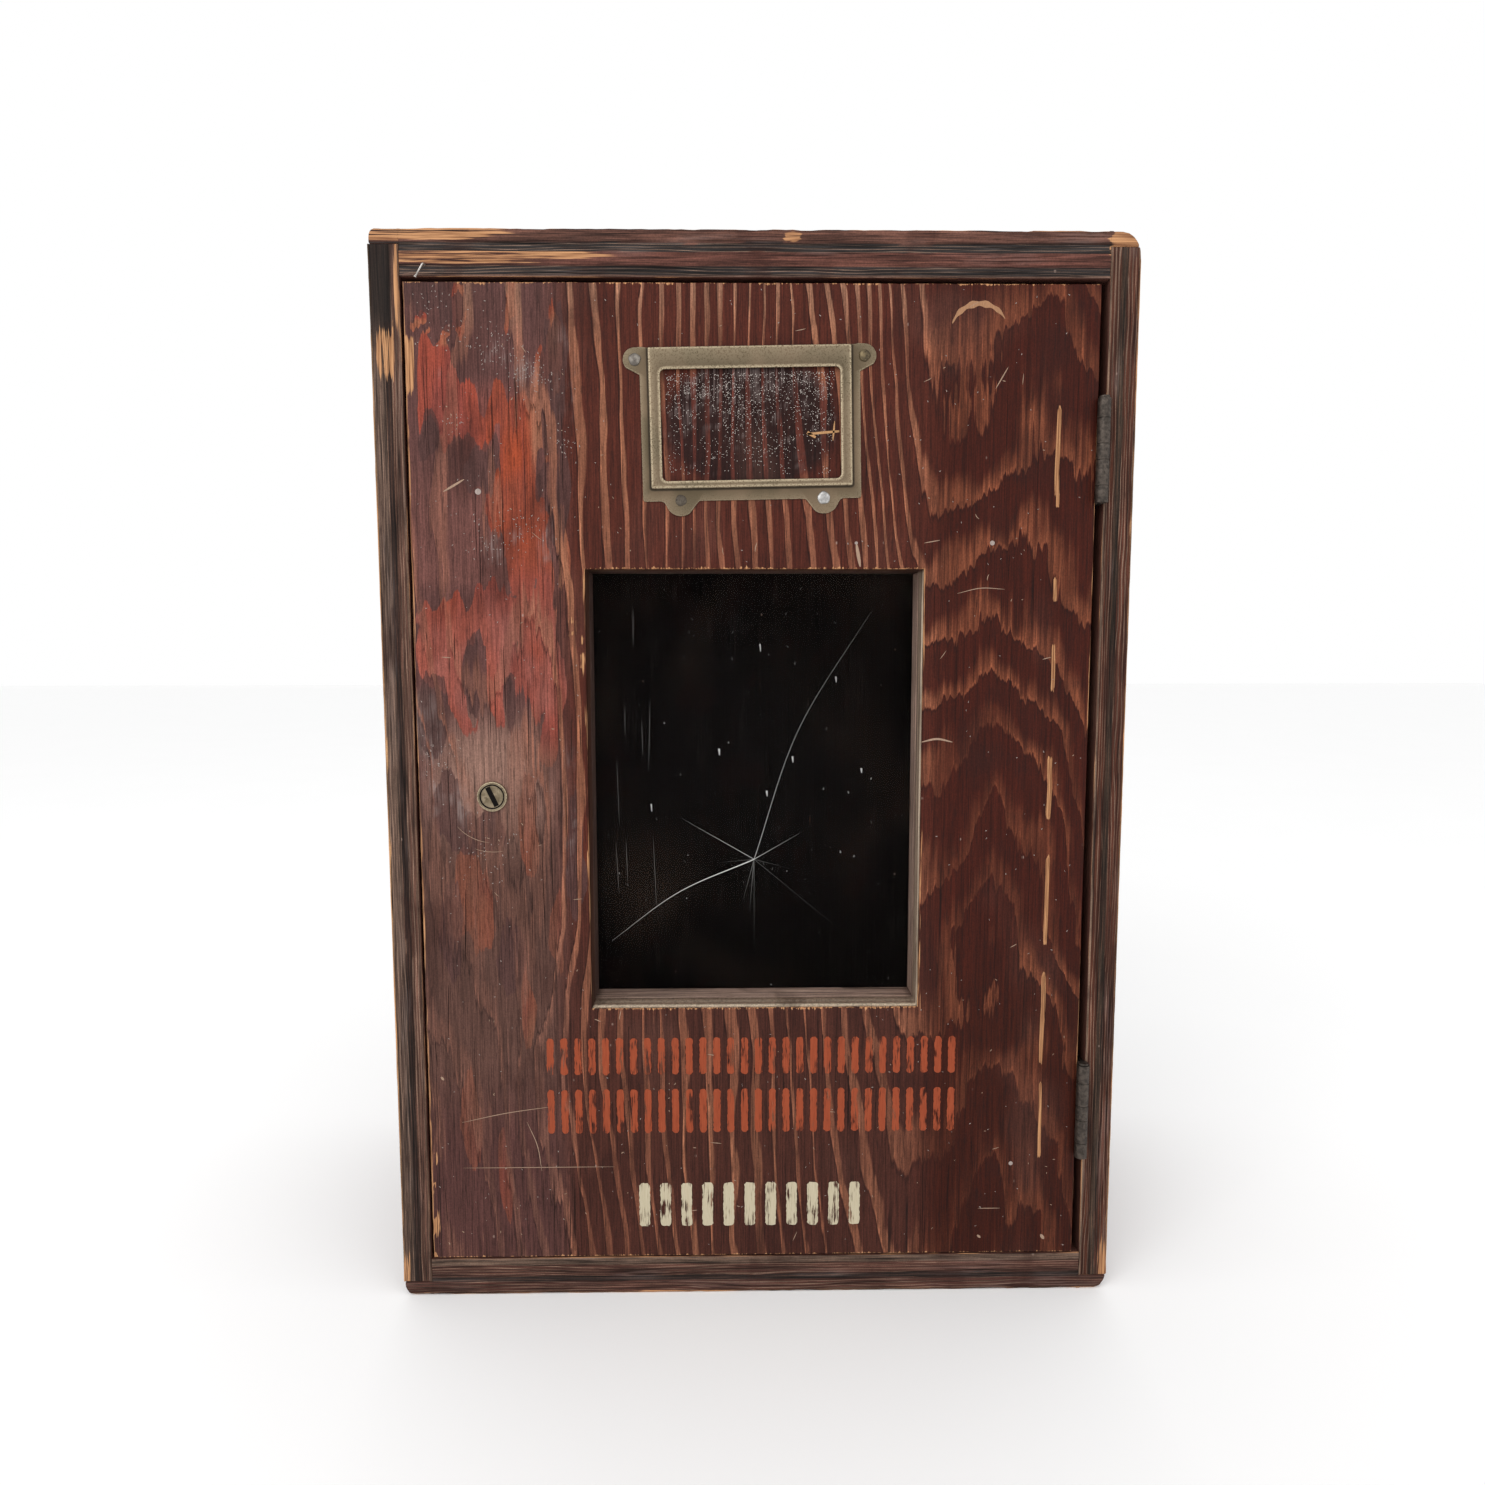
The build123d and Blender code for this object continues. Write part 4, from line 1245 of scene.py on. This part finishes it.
def build_flecks(material):
    """Pale specks on the door: thick where it is scuffed, and thin over the rest."""
    rng = np.random.default_rng(27)
    spots = ((0.1, 0.8, 1.9), (0.85, 0.75, 1.5), (0.9, 0.1, 1.4), (0.65, 0.75, 1.0))
    tracks = [disc_track(*on_door(across, up), radius) for across, up, radius in spots]
    places = []
    for cx, cz, spread, count in (
        (-163, 617, 8, 50), (-145, 602, 6, 60), (-133, 597, 5, 40), (-166, 496, 8, 40), (-148, 505, 7, 40),
        (-120, 560, 6, 30), (-196, 640, 12, 40), (-205, 360, 6, 40), (-186, 569, 4, 20), (-176, 300, 14, 40),
    ):
        places += [(cx + spread * rng.normal(), cz + spread * rng.normal()) for _ in range(count)]
    for _ in range(520):
        x = rng.uniform(DOOR_LOW[0] + 3, DOOR_HIGH[0] - 3)
        places.append((x, rng.uniform(DOOR_LOW[2] + 3, DOOR_HIGH[2] - 3)))
    for x, z in places:
        inside = DOOR_LOW[0] + 3 < x < DOOR_HIGH[0] - 3 and DOOR_LOW[2] + 3 < z < DOOR_HIGH[2] - 3
        if not inside or window_edge(x, z) < 2 or (abs(x - HOLDER_X) < 72 and abs(z - HOLDER_Z) < 46):
            continue
        angle = rng.uniform(0, math.pi)
        length = rng.uniform(0.3, 1.3)
        end = end_of(x, z, length, angle)
        tracks.append((np.array([(x, z), end]), [rng.uniform(0.25, 0.7), 0.15]))
    piece = ribbons("door_flecks", tracks, FRONT - 0.085, material)
    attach(piece, "door")


def build_checks(material):
    """Fine drying cracks that follow the grain of the door's face."""
    rng = np.random.default_rng(31)
    tracks = []
    stiles = ((DOOR_LOW[0] + 5, WINDOW_LEFT - 4, 54), (WINDOW_RIGHT + 5, DOOR_HIGH[0] - 5, 30))
    for low_x, high_x, count in stiles:
        for _ in range(count):
            x = rng.uniform(low_x, high_x)
            z = rng.uniform(DOOR_LOW[2] + 20, DOOR_HIGH[2] - 20)
            reach = min(rng.uniform(12, 90), z - DOOR_LOW[2] - 4)
            drift = rng.uniform(-1.2, 1.2)
            stops = [(x, z), (x + drift * 0.3, z - reach * 0.4), (x + drift, z - reach)]
            tracks.append((curve_through(stops, 10), taper(10, rng.uniform(0.22, 0.5))))
    for _ in range(40):
        x = rng.uniform(WINDOW_LEFT, WINDOW_RIGHT)
        z = rng.uniform(WINDOW_BOTTOM - 70, WINDOW_BOTTOM - 6)
        stops = [(x, z), (x + rng.uniform(-1, 1), z - rng.uniform(10, 60))]
        tracks.append((np.array(stops), [0.4, 0.15]))
    piece = ribbons("door_checks", tracks, FRONT - 0.05, material)
    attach(piece, "door")


def build_glass(glass, crack, faint):
    """The pane, the star crack in it, and the scratches and dust on it."""
    low, high = GLASS_LOW, GLASS_HIGH
    cuts = [lines(low[i], high[i], 8.0) for i in range(3)]
    points, faces = lattice_shell(*cuts)
    points = round_edges(points, low, high, np.full(len(points), 0.3))
    pane = make_piece("window_pane", points, faces, glass)
    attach(pane, "door")
    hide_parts("window_glass")
    heart = ((WINDOW_LEFT + WINDOW_RIGHT) / 2, WINDOW_BOTTOM + (WINDOW_TOP - WINDOW_BOTTOM) / 3)
    rays = (
        (65, 180, 10, 0.5, True),
        (210, 110, -6, 1.1, True),
        (150, 55, 0, 0.45, True),
        (30, 35, 0, 0.5, True),
        (270, 60, 0, 0.5, False),
        (320, 85, 0, 0.35, False),
        (255, 30, 0, 0.8, False),
        (265, 35, 0, 0.9, False),
        (345, 25, 0, 0.4, False),
        (185, 25, 0, 0.4, False),
    )
    strong, weak = [], []
    for turn, reach, bow, width, bold in rays:
        track = bent_line(heart, turn, reach, bow, 30)
        (strong if bold else weak).append((track, fading(len(track), width * 0.62)))
    rng = np.random.default_rng(21)
    for _ in range(8):
        place = (WINDOW_LEFT + rng.uniform(8, 40), rng.uniform(WINDOW_BOTTOM + 70, WINDOW_TOP - 20))
        track = bent_line(place, 270 + rng.uniform(-3, 3), rng.uniform(20, 60), 0, 12)
        weak.append((track, taper(12, 0.32)))
    for _ in range(70):
        x = rng.uniform(WINDOW_LEFT + 4, WINDOW_RIGHT - 4)
        z = rng.uniform(WINDOW_BOTTOM + 4, WINDOW_TOP - 4)
        length = rng.uniform(0.5, 2.2)
        angle = rng.normal(math.pi / 2, 0.5)
        end = end_of(x, z, length, angle)
        target = strong if rng.uniform() < 0.25 else weak
        target.append((np.array([(x, z), end]), [rng.uniform(0.3, 0.9), 0.2]))
    for _ in range(7):
        x = rng.uniform(WINDOW_LEFT + 30, WINDOW_RIGHT - 30)
        z = rng.uniform(WINDOW_BOTTOM + 80, WINDOW_TOP - 30)
        width = rng.uniform(0.9, 1.5)
        strong.append((bent_line((x, z), 275, rng.uniform(3, 5), 0, 2), [width, width * 0.4]))
    y = GLASS_LOW[1]
    piece = ribbons("glass_cracks", strong, y - 0.10, crack)
    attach(piece, "door")
    piece = ribbons("glass_scuffs", weak, y - 0.06, faint)
    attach(piece, "door")


# The card holder

def rect_distance(x, z, cx, cz, half_x, half_z, corner):
    """Signed distance to a rectangle with rounded corners."""
    qx = np.abs(x - cx) - half_x + corner
    qz = np.abs(z - cz) - half_z + corner
    return np.hypot(np.maximum(qx, 0), np.maximum(qz, 0)) + np.minimum(np.maximum(qx, qz), 0) - corner


def soft_union(a, b, reach):
    """The union of two distances with a fillet where they meet."""
    h = np.clip(0.5 + 0.5 * (b - a) / reach, 0, 1)
    return b * (1 - h) + a * h - reach * h * (1 - h)


def flange_distance(x, z):
    """Signed distance to the holder's outline with its ears."""
    distance = rect_distance(x, z, 0, -3.75, 68, 46.45, 1.5)
    for ex, ez, radius in EARS:
        distance = soft_union(distance, np.hypot(x - ex, z - ez) - radius, 3.5)
    return distance


def rim_distance(x, z):
    """Signed distance to the raised rim's outer edge."""
    return rect_distance(x, z, 0, 0, 62.7, 42.7, 1.2)


def opening_distance(x, z):
    """Signed distance to the opening for the card."""
    return rect_distance(x, z, 0, OPENING_UP, 55.4, 33.55, 3.0)


def loop_at(distance, level, angles):
    """Where rays from the middle of the opening cross a distance's level."""
    near, far = np.zeros_like(angles), np.full_like(angles, 120.0)
    dx, dz = np.cos(angles), np.sin(angles)
    for _ in range(40):
        middle = (near + far) / 2
        inside = distance(dx * middle, OPENING_UP + dz * middle) < level
        near, far = np.where(inside, middle, near), np.where(inside, far, middle)
    return dx * near, OPENING_UP + dz * near


def build_holder(brass):
    """The card holder as one pressed sheet, from its flange up over its rim to the opening."""
    count = 720
    base = np.linspace(0, 2 * math.pi, count, endpoint=False)
    towards_ears = [math.atan2(ez - OPENING_UP, ex) for ex, ez, _ in EARS]
    finer = [angle + np.linspace(-0.16, 0.16, 60) for angle in towards_ears]
    angles = np.sort(np.concatenate([base] + finer) % (2 * math.pi))
    levels = (
        (flange_distance, 0.0, 0.0), (flange_distance, 0.0, 0.55), (flange_distance, -0.15, 0.8),
        (flange_distance, -0.45, 0.92), (rim_distance, 1.5, 0.92), (rim_distance, 0.8, 0.98),
        (rim_distance, 0.05, 1.6), (rim_distance, -0.25, 2.35), (rim_distance, -0.8, 2.78),
        (rim_distance, -1.7, 2.9), (opening_distance, 2.2, 2.78), (opening_distance, 1.2, 2.84),
        (opening_distance, 0.5, 2.75), (opening_distance, 0.12, 2.4), (opening_distance, 0.0, 1.9),
        (opening_distance, 0.6, 1.7),
    )
    rings, rub_and_highlight, darkening = [], [], []
    # Per ring: how far it is lightened as painted highlight and rubbed wear, and how far darkened as painted
    # shade and grime.
    bright = (0, 0.2, 0.6, 0.2, 0, 0, 0, 0.7, 1.0, 0.3, 0.1, 0.6, 1.0, 0.6, 0, 0)
    grime_and_shade_per_ring = (0.3, 0.2, 0, 0, 0.15, 1.0, 0.9, 0.1, 0, 0, 0.2, 0, 0, 0.1, 0.8, 1.0)
    for distance, level, height in levels:
        x, z = loop_at(distance, level, angles)
        if distance is not flange_distance:
            limit = flange_distance(x, z)
            over = np.maximum(limit + 0.35, 0)
            z = z - np.where(z > 35, over, 0)
        warp = 0.10 * rough(x / 25, z / 25, 4)
        rings.append(np.stack([x, np.full_like(x, height) + warp * (height > 1), z], 1))
        rub_and_highlight.append(np.full(len(x), bright[len(rings) - 1]))
        darkening.append(np.full(len(x), grime_and_shade_per_ring[len(rings) - 1]))
    points = np.concatenate(rings)
    faces = [(a, d, c, b) for a, b, c, d in ring_faces(len(levels), len(angles))]
    placed = place_on_holder(points)
    fields = {"rub_and_highlight": np.concatenate(rub_and_highlight), "darkening": np.concatenate(darkening)}
    piece = make_piece("card_holder_frame", placed, faces, brass, fields)
    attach(piece, "door")
    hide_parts("card_holder")


def place_on_holder(points):
    """Points of the holder's plane (across, out, up) in the door's frame."""
    x, out, z = points.T
    c, s = math.cos(HOLDER_TILT), math.sin(HOLDER_TILT)
    return np.stack([HOLDER_X + x * c - z * s, FRONT - out, HOLDER_Z + x * s + z * c], 1)


def build_holder_nails(finishes):
    """Four odd nails with hammered, domed heads."""
    for i, (ex, ez, _) in enumerate(EARS):
        count, rows = 28, 6
        radius = (3.8, 3.6, 3.5, 4.0)[i]
        height = (1.5, 1.7, 0.7, 1.4)[i]
        points, faces = [(ex, 0.9 + height, ez)], []
        rng = np.random.default_rng(40 + i)
        for row in range(1, rows + 1):
            t = row / rows
            r = radius * math.sin(t * math.pi / 2)
            h = 0.9 + height * math.cos(t * math.pi / 2) ** 0.9
            for k in range(count):
                a = 2 * math.pi * k / count
                wobble = 1 + 0.035 * math.sin(3 * a + i) + 0.03 * math.sin(5 * a + 2 * i)
                dent = 0.10 * rng.uniform(-1, 1) if row < rows else 0
                points.append((ex + r * wobble * math.cos(a), h + dent, ez + r * wobble * math.sin(a)))
        for k in range(count):
            faces.append((0, 1 + (k + 1) % count, 1 + k))
        faces += ring_faces(rows, count, 1)
        placed = place_on_holder(np.array(points))
        piece = make_piece("card_holder_nail_%d" % (i + 1), placed, faces, finishes[i])
        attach(piece, "door")
        if i == 0:
            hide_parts("card_holder_nails")


def build_card_dirt(pale, tan):
    """Flecks of paper and a splinter on the wood inside the card holder."""
    rng = np.random.default_rng(31)
    tracks = []
    for _ in range(5200):
        x = rng.uniform(-52, 52)
        z = rng.uniform(-35, 27)
        crowd = 0.14 + 0.62 * max(0, z + 12) / 39 + 0.5 * rough(np.array(x / 11), np.array(z / 8), 4)
        if rng.uniform() > crowd:
            continue
        length = rng.uniform(0.15, 0.6)
        angle = rng.uniform(0, math.pi)
        c, s = math.cos(HOLDER_TILT), math.sin(HOLDER_TILT)
        px, pz = HOLDER_X + x * c - z * s, HOLDER_Z + x * s + z * c
        end = end_of(px, pz, length, angle)
        tracks.append((np.array([(px, pz), end]), [rng.uniform(0.16, 0.5), 0.14]))
    piece = ribbons("card_flecks", tracks, FRONT - 0.07, pale)
    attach(piece, "door")
    splinter = bent_line((HOLDER_X + 35, HOLDER_Z - 10), 5, 20, 0, 12)
    drop = bent_line((HOLDER_X + 52, HOLDER_Z - 2), 265, 12, 0, 8)
    stub = bent_line((HOLDER_X + 35, HOLDER_Z - 9), 330, 6, 0, 2)
    marks = [(splinter, taper(12, 1.5, 0.8)), (drop, taper(8, 1.1)), (stub, [2.0, 1.4])]
    piece = ribbons("card_splinter", marks, FRONT - 0.08, tan)
    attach(piece, "door")


# The lock and the hinges

def build_lock_ring(material):
    """The lock's visible ring: rounded lip, sloping band and an inner groove."""
    low, _ = box_mm("lock_shell")
    face = low[1]
    profile = (
        (9.62, FRONT + 0.3), (9.62, face + 0.55), (9.45, face + 0.18), (9.1, face - 0.02),
        (8.75, face + 0.05), (8.5, face + 0.3), (7.9, face + 0.55), (7.55, face + 0.6), (7.3, face + 0.9),
        (7.26, face + 1.6),
    )
    # Per ring: the lip lightened as painted highlight and rubbed wear, the inner groove darkened as painted
    # shade and grime.
    rub_and_highlight = (0.1, 0.3, 0.9, 0.9, 0.4, 0, 0, 0.3, 0, 0)
    darkening = (0.6, 0.2, 0, 0, 0.2, 0.75, 0.6, 0.1, 1, 1)
    piece = lathe("lock_ring_face", profile, LOCK_X, LOCK_Z, material, fields={"rub_and_highlight": rub_and_highlight, "darkening": darkening})
    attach(piece, "door")


def build_lock_groove(material):
    """A dark ring painted as shade in the gap between the lock's ring and its plug."""
    y = box_mm("lock_shell")[0][1] - 0.04
    profile = ((8.1, y + 0.1), (7.9, y), (7.3, y), (7.1, y + 0.1))
    piece = lathe("lock_groove_painted_shade", profile, LOCK_X, LOCK_Z, material)
    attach(piece, "door")


def build_slot_shadow(material):
    """A dark block painted as shade on the floor of the lock's slot."""
    half_long, half_wide = 6.7, 1.6
    y = PLUG_LOW[1] - 0.03
    points = []
    for along_slot, across_slot in ((-1, -1), (1, -1), (1, 1), (-1, 1)):
        a, b = along_slot * half_long, across_slot * half_wide
        x = -a * math.sin(SLOT_TILT) + b * math.cos(SLOT_TILT)
        z = a * math.cos(SLOT_TILT) + b * math.sin(SLOT_TILT)
        points.append((LOCK_X + x, y, LOCK_Z + z))
    points += [(x, y + 1.4, z) for x, _, z in points]
    faces = [(0, 3, 2, 1), (4, 5, 6, 7), (0, 1, 5, 4), (1, 2, 6, 5), (2, 3, 7, 6), (3, 0, 4, 7)]
    piece = make_piece("lock_slot_painted_shade", np.array(points), faces, material, smooth_faces=False)
    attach(piece, "lock_plug")


def polish(node, material, bevel=0.25):
    """Keep a CAD node, with soft edges and a finish of its own."""
    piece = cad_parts[node]
    piece.data.materials.clear()
    piece.data.materials.append(material)
    weld = piece.modifiers.new("weld", "WELD")
    weld.merge_threshold = 1e-5
    if bevel:
        soft = piece.modifiers.new("soft_edges", "BEVEL")
        soft.width = bevel * MM
        soft.segments = 2
        soft.limit_method = "ANGLE"
        soft.angle_limit = math.radians(35)
        soft.harden_normals = False


# The stage

def build_stage():
    """A pale floor and two soft lights under an even white sky."""
    n = Nodes("pale_floor")
    grain = n.noise((0.004, 0.004, 0.004), 3.0)
    tint = n.mix(grain, (0.95, 0.95, 0.95), (0.97, 0.97, 0.97))
    n.bump(n.noise((0.3, 0.3, 0.3), 2.0), 0.05, 0.1)
    floor_finish = n.finish(tint, 0.8, specular=0.1)
    mesh = bpy.data.meshes.new("floor")
    mesh.from_pydata([(-12, -12, 0), (12, -12, 0), (12, 12, 0), (-12, 12, 0)], [], [(0, 1, 2, 3)])
    mesh.materials.append(floor_finish)
    floor = bpy.data.objects.new("floor", mesh)
    bpy.context.scene.collection.objects.link(floor)
    world = bpy.data.worlds.new("studio")
    world.use_nodes = True
    world.node_tree.nodes["Background"].inputs[0].default_value = (1, 1, 1, 1)
    world.node_tree.nodes["Background"].inputs[1].default_value = 1.0
    bpy.context.scene.world = world
    for name, place, size, power in (
        ("key", (-1.3, -2.0, 2.0), 1.6, 22),
        ("fill", (1.6, -2.2, 1.3), 1.8, 8),
    ):
        light = bpy.data.lights.new(name, "AREA")
        light.shape = "SQUARE"
        light.size = size
        light.energy = power
        lamp = bpy.data.objects.new(name, light)
        lamp.location = place
        aim = Vector((0, -0.1, 0.34)) - Vector(place)
        lamp.rotation_euler = aim.to_track_quat("-Z", "Y").to_euler()
        bpy.context.scene.collection.objects.link(lamp)


def build_camera():
    """The camera where the photograph's perspective puts it."""
    data = bpy.data.cameras.new("camera")
    data.sensor_width = 36
    data.lens = 23.59
    camera = bpy.data.objects.new("camera", data)
    camera.location = (-0.0177, FRONT * MM - 0.6185, 0.4295)
    camera.rotation_euler = (math.radians(90 - 5.334), math.radians(0.083), math.radians(-0.808))
    bpy.context.scene.collection.objects.link(camera)
    bpy.context.scene.camera = camera
    bpy.context.scene.view_settings.view_transform = "Standard"


def build_case(upright, level):
    """The boards of the case."""
    side_colours = ((176, 136, 98), (82, 64, 55), (42, 30, 26), (84, 58, 48), (104, 80, 66))
    build_side("left_side_board", LEFT_LOW, LEFT_HIGH, LEFT_LOW[0], -1, side_colours, upright)
    side_colours = ((140, 104, 74), (74, 42, 31), (54, 42, 34), (70, 39, 28), (108, 88, 74))
    build_side("right_side_board", RIGHT_LOW, RIGHT_HIGH, RIGHT_HIGH[0], 1, side_colours, upright)
    top_colours = ((86, 57, 48), (44, 40, 39), (88, 54, 46), (42, 37, 36), (96, 74, 64))
    build_end("top_board", "top_panel", CASE_LOW, CASE_HIGH, True, top_colours, level)
    sole_colours = ((108, 80, 62), (72, 45, 38), (44, 35, 32), (78, 51, 43), (92, 74, 63))
    build_end("bottom_board", "bottom_panel", SOLE_LOW, SOLE_HIGH, False, sole_colours, level)
    plain_board(
        "back_board", "back_panel", "case", 2, (20, 17, 15), upright, outside=(66, 44, 36),
    )
    for name, axis, material in (("lock_side", 2, upright), ("top", 0, level), ("bottom", 0, level)):
        plain_board(name + "_stop_strip", name + "_stop", "case", axis, (30, 24, 21), material)


def build_all():
    """Every piece of the object."""
    upright = wood("stained_wood_upright", 2)
    level = wood("stained_wood_level", 0)
    build_door(upright)
    build_case(upright, level)
    # Painted light for the glazing strips' faces seen through the pane: strong on the bottom and right
    # strips, weak on the top and left ones as painted shade.
    pale, dim = (198, 170, 152), (60, 50, 44)
    for side, axis, material, painted_light in (
        ("top", 0, level, dim),
        ("bottom", 0, level, pale),
        ("left", 2, upright, dim),
        ("right", 2, upright, pale),
    ):
        node = "glazing_strip_" + side
        plain_board("glazing_" + side, node, "door", axis, (100, 78, 71), material, painted_light)
    build_marks(
        stencil_paint("orange_paint", 2, (168, 84, 54), (126, 52, 32), 0.53),
        stencil_paint("cream_paint", 2, (208, 198, 172), (176, 164, 136), 0.52),
    )
    scratch = flat_mark("scratch_pale", (176, 146, 124), 0.7)
    chip = flat_mark("chip_tan", (178, 132, 98), 0.7)
    build_scratches(scratch, chip)
    crack = flat_mark("crack_bright", (214, 214, 212), 0.5)
    faint = flat_mark("crack_faint", (104, 102, 100), 0.5)
    build_glass(clear_glass(), crack, faint)
    brass = pressed_brass()
    build_holder(brass)
    build_holder_nails((
        metal("nail_rough", ((104, 98, 92), (140, 134, 126), (60, 54, 50)), 0.5),
        metal("nail_dark_brass", ((84, 74, 58), (120, 106, 80), (44, 38, 32)), 0.45),
        metal("nail_flat_dark", ((78, 70, 62), (98, 90, 80), (48, 42, 38)), 0.55),
        metal("nail_bright", ((150, 148, 146), (196, 194, 192), (84, 80, 76)), 0.35),
    ))
    fleck = flat_mark("fleck_pale", (236, 226, 216), 0.8)
    splinter = flat_mark("splinter_tan", (198, 150, 104), 0.75)
    build_card_dirt(fleck, splinter)
    lock_brass = metal("lock_metal", ((104, 92, 72), (140, 126, 104), (56, 48, 38)), 0.36, 0.8, 0.25)
    build_lock_ring(brass)
    build_checks(flat_mark("check_dark", (34, 20, 17), 0.9))
    build_flecks(flat_mark("fleck_dusty", (176, 160, 152), 0.8))
    # A near-black finish that paints the shade in the lock's groove and slot.
    darkening = flat_mark("slot_painted_shade", (12, 9, 7), 0.9)
    build_lock_groove(darkening)
    build_slot_shadow(darkening)
    polish("lock_shell", lock_brass, 0.15)
    polish("lock_plug", lock_brass, 0.12)
    dull_steel = metal("dull_steel", ((92, 88, 84), (124, 120, 114), (66, 54, 46)), 0.5, 0.8)
    for node in ("lock_cam", "lock_stop_washer", "lock_cam_screw", "lock_washer", "lock_nut"):
        polish(node, dull_steel, 0.2)
    hinge_steel = metal("hinge_metal", ((56, 50, 45), (84, 75, 68), (38, 31, 27)), 0.42, 0.75, 0.35)
    for level_name in ("upper", "lower"):
        for part in ("hinge_case_leaf", "hinge_door_leaf", "hinge_pin"):
            polish(level_name + "_" + part, hinge_steel, 0.35)
    screw_steel = metal("screw_metal", ((88, 80, 72), (120, 110, 100), (56, 46, 40)), 0.5, 0.7)
    for node in ("case_hinge_screws", "door_hinge_screws", "glazing_strip_screws"):
        polish(node, screw_steel, 0)
    nail_steel = metal("nail_metal", ((96, 88, 82), (130, 122, 114), (64, 50, 42)), 0.5, 0.7)
    for node in ("case_nails", "back_panel_nails", "stop_brads"):
        polish(node, nail_steel, 0)
    nail_wire = metal("nail_wire", ((150, 144, 138), (196, 190, 184), (96, 84, 76)), 0.35)
    polish("bent_nail", nail_wire, 0)


build_all()
build_stage()
build_camera()
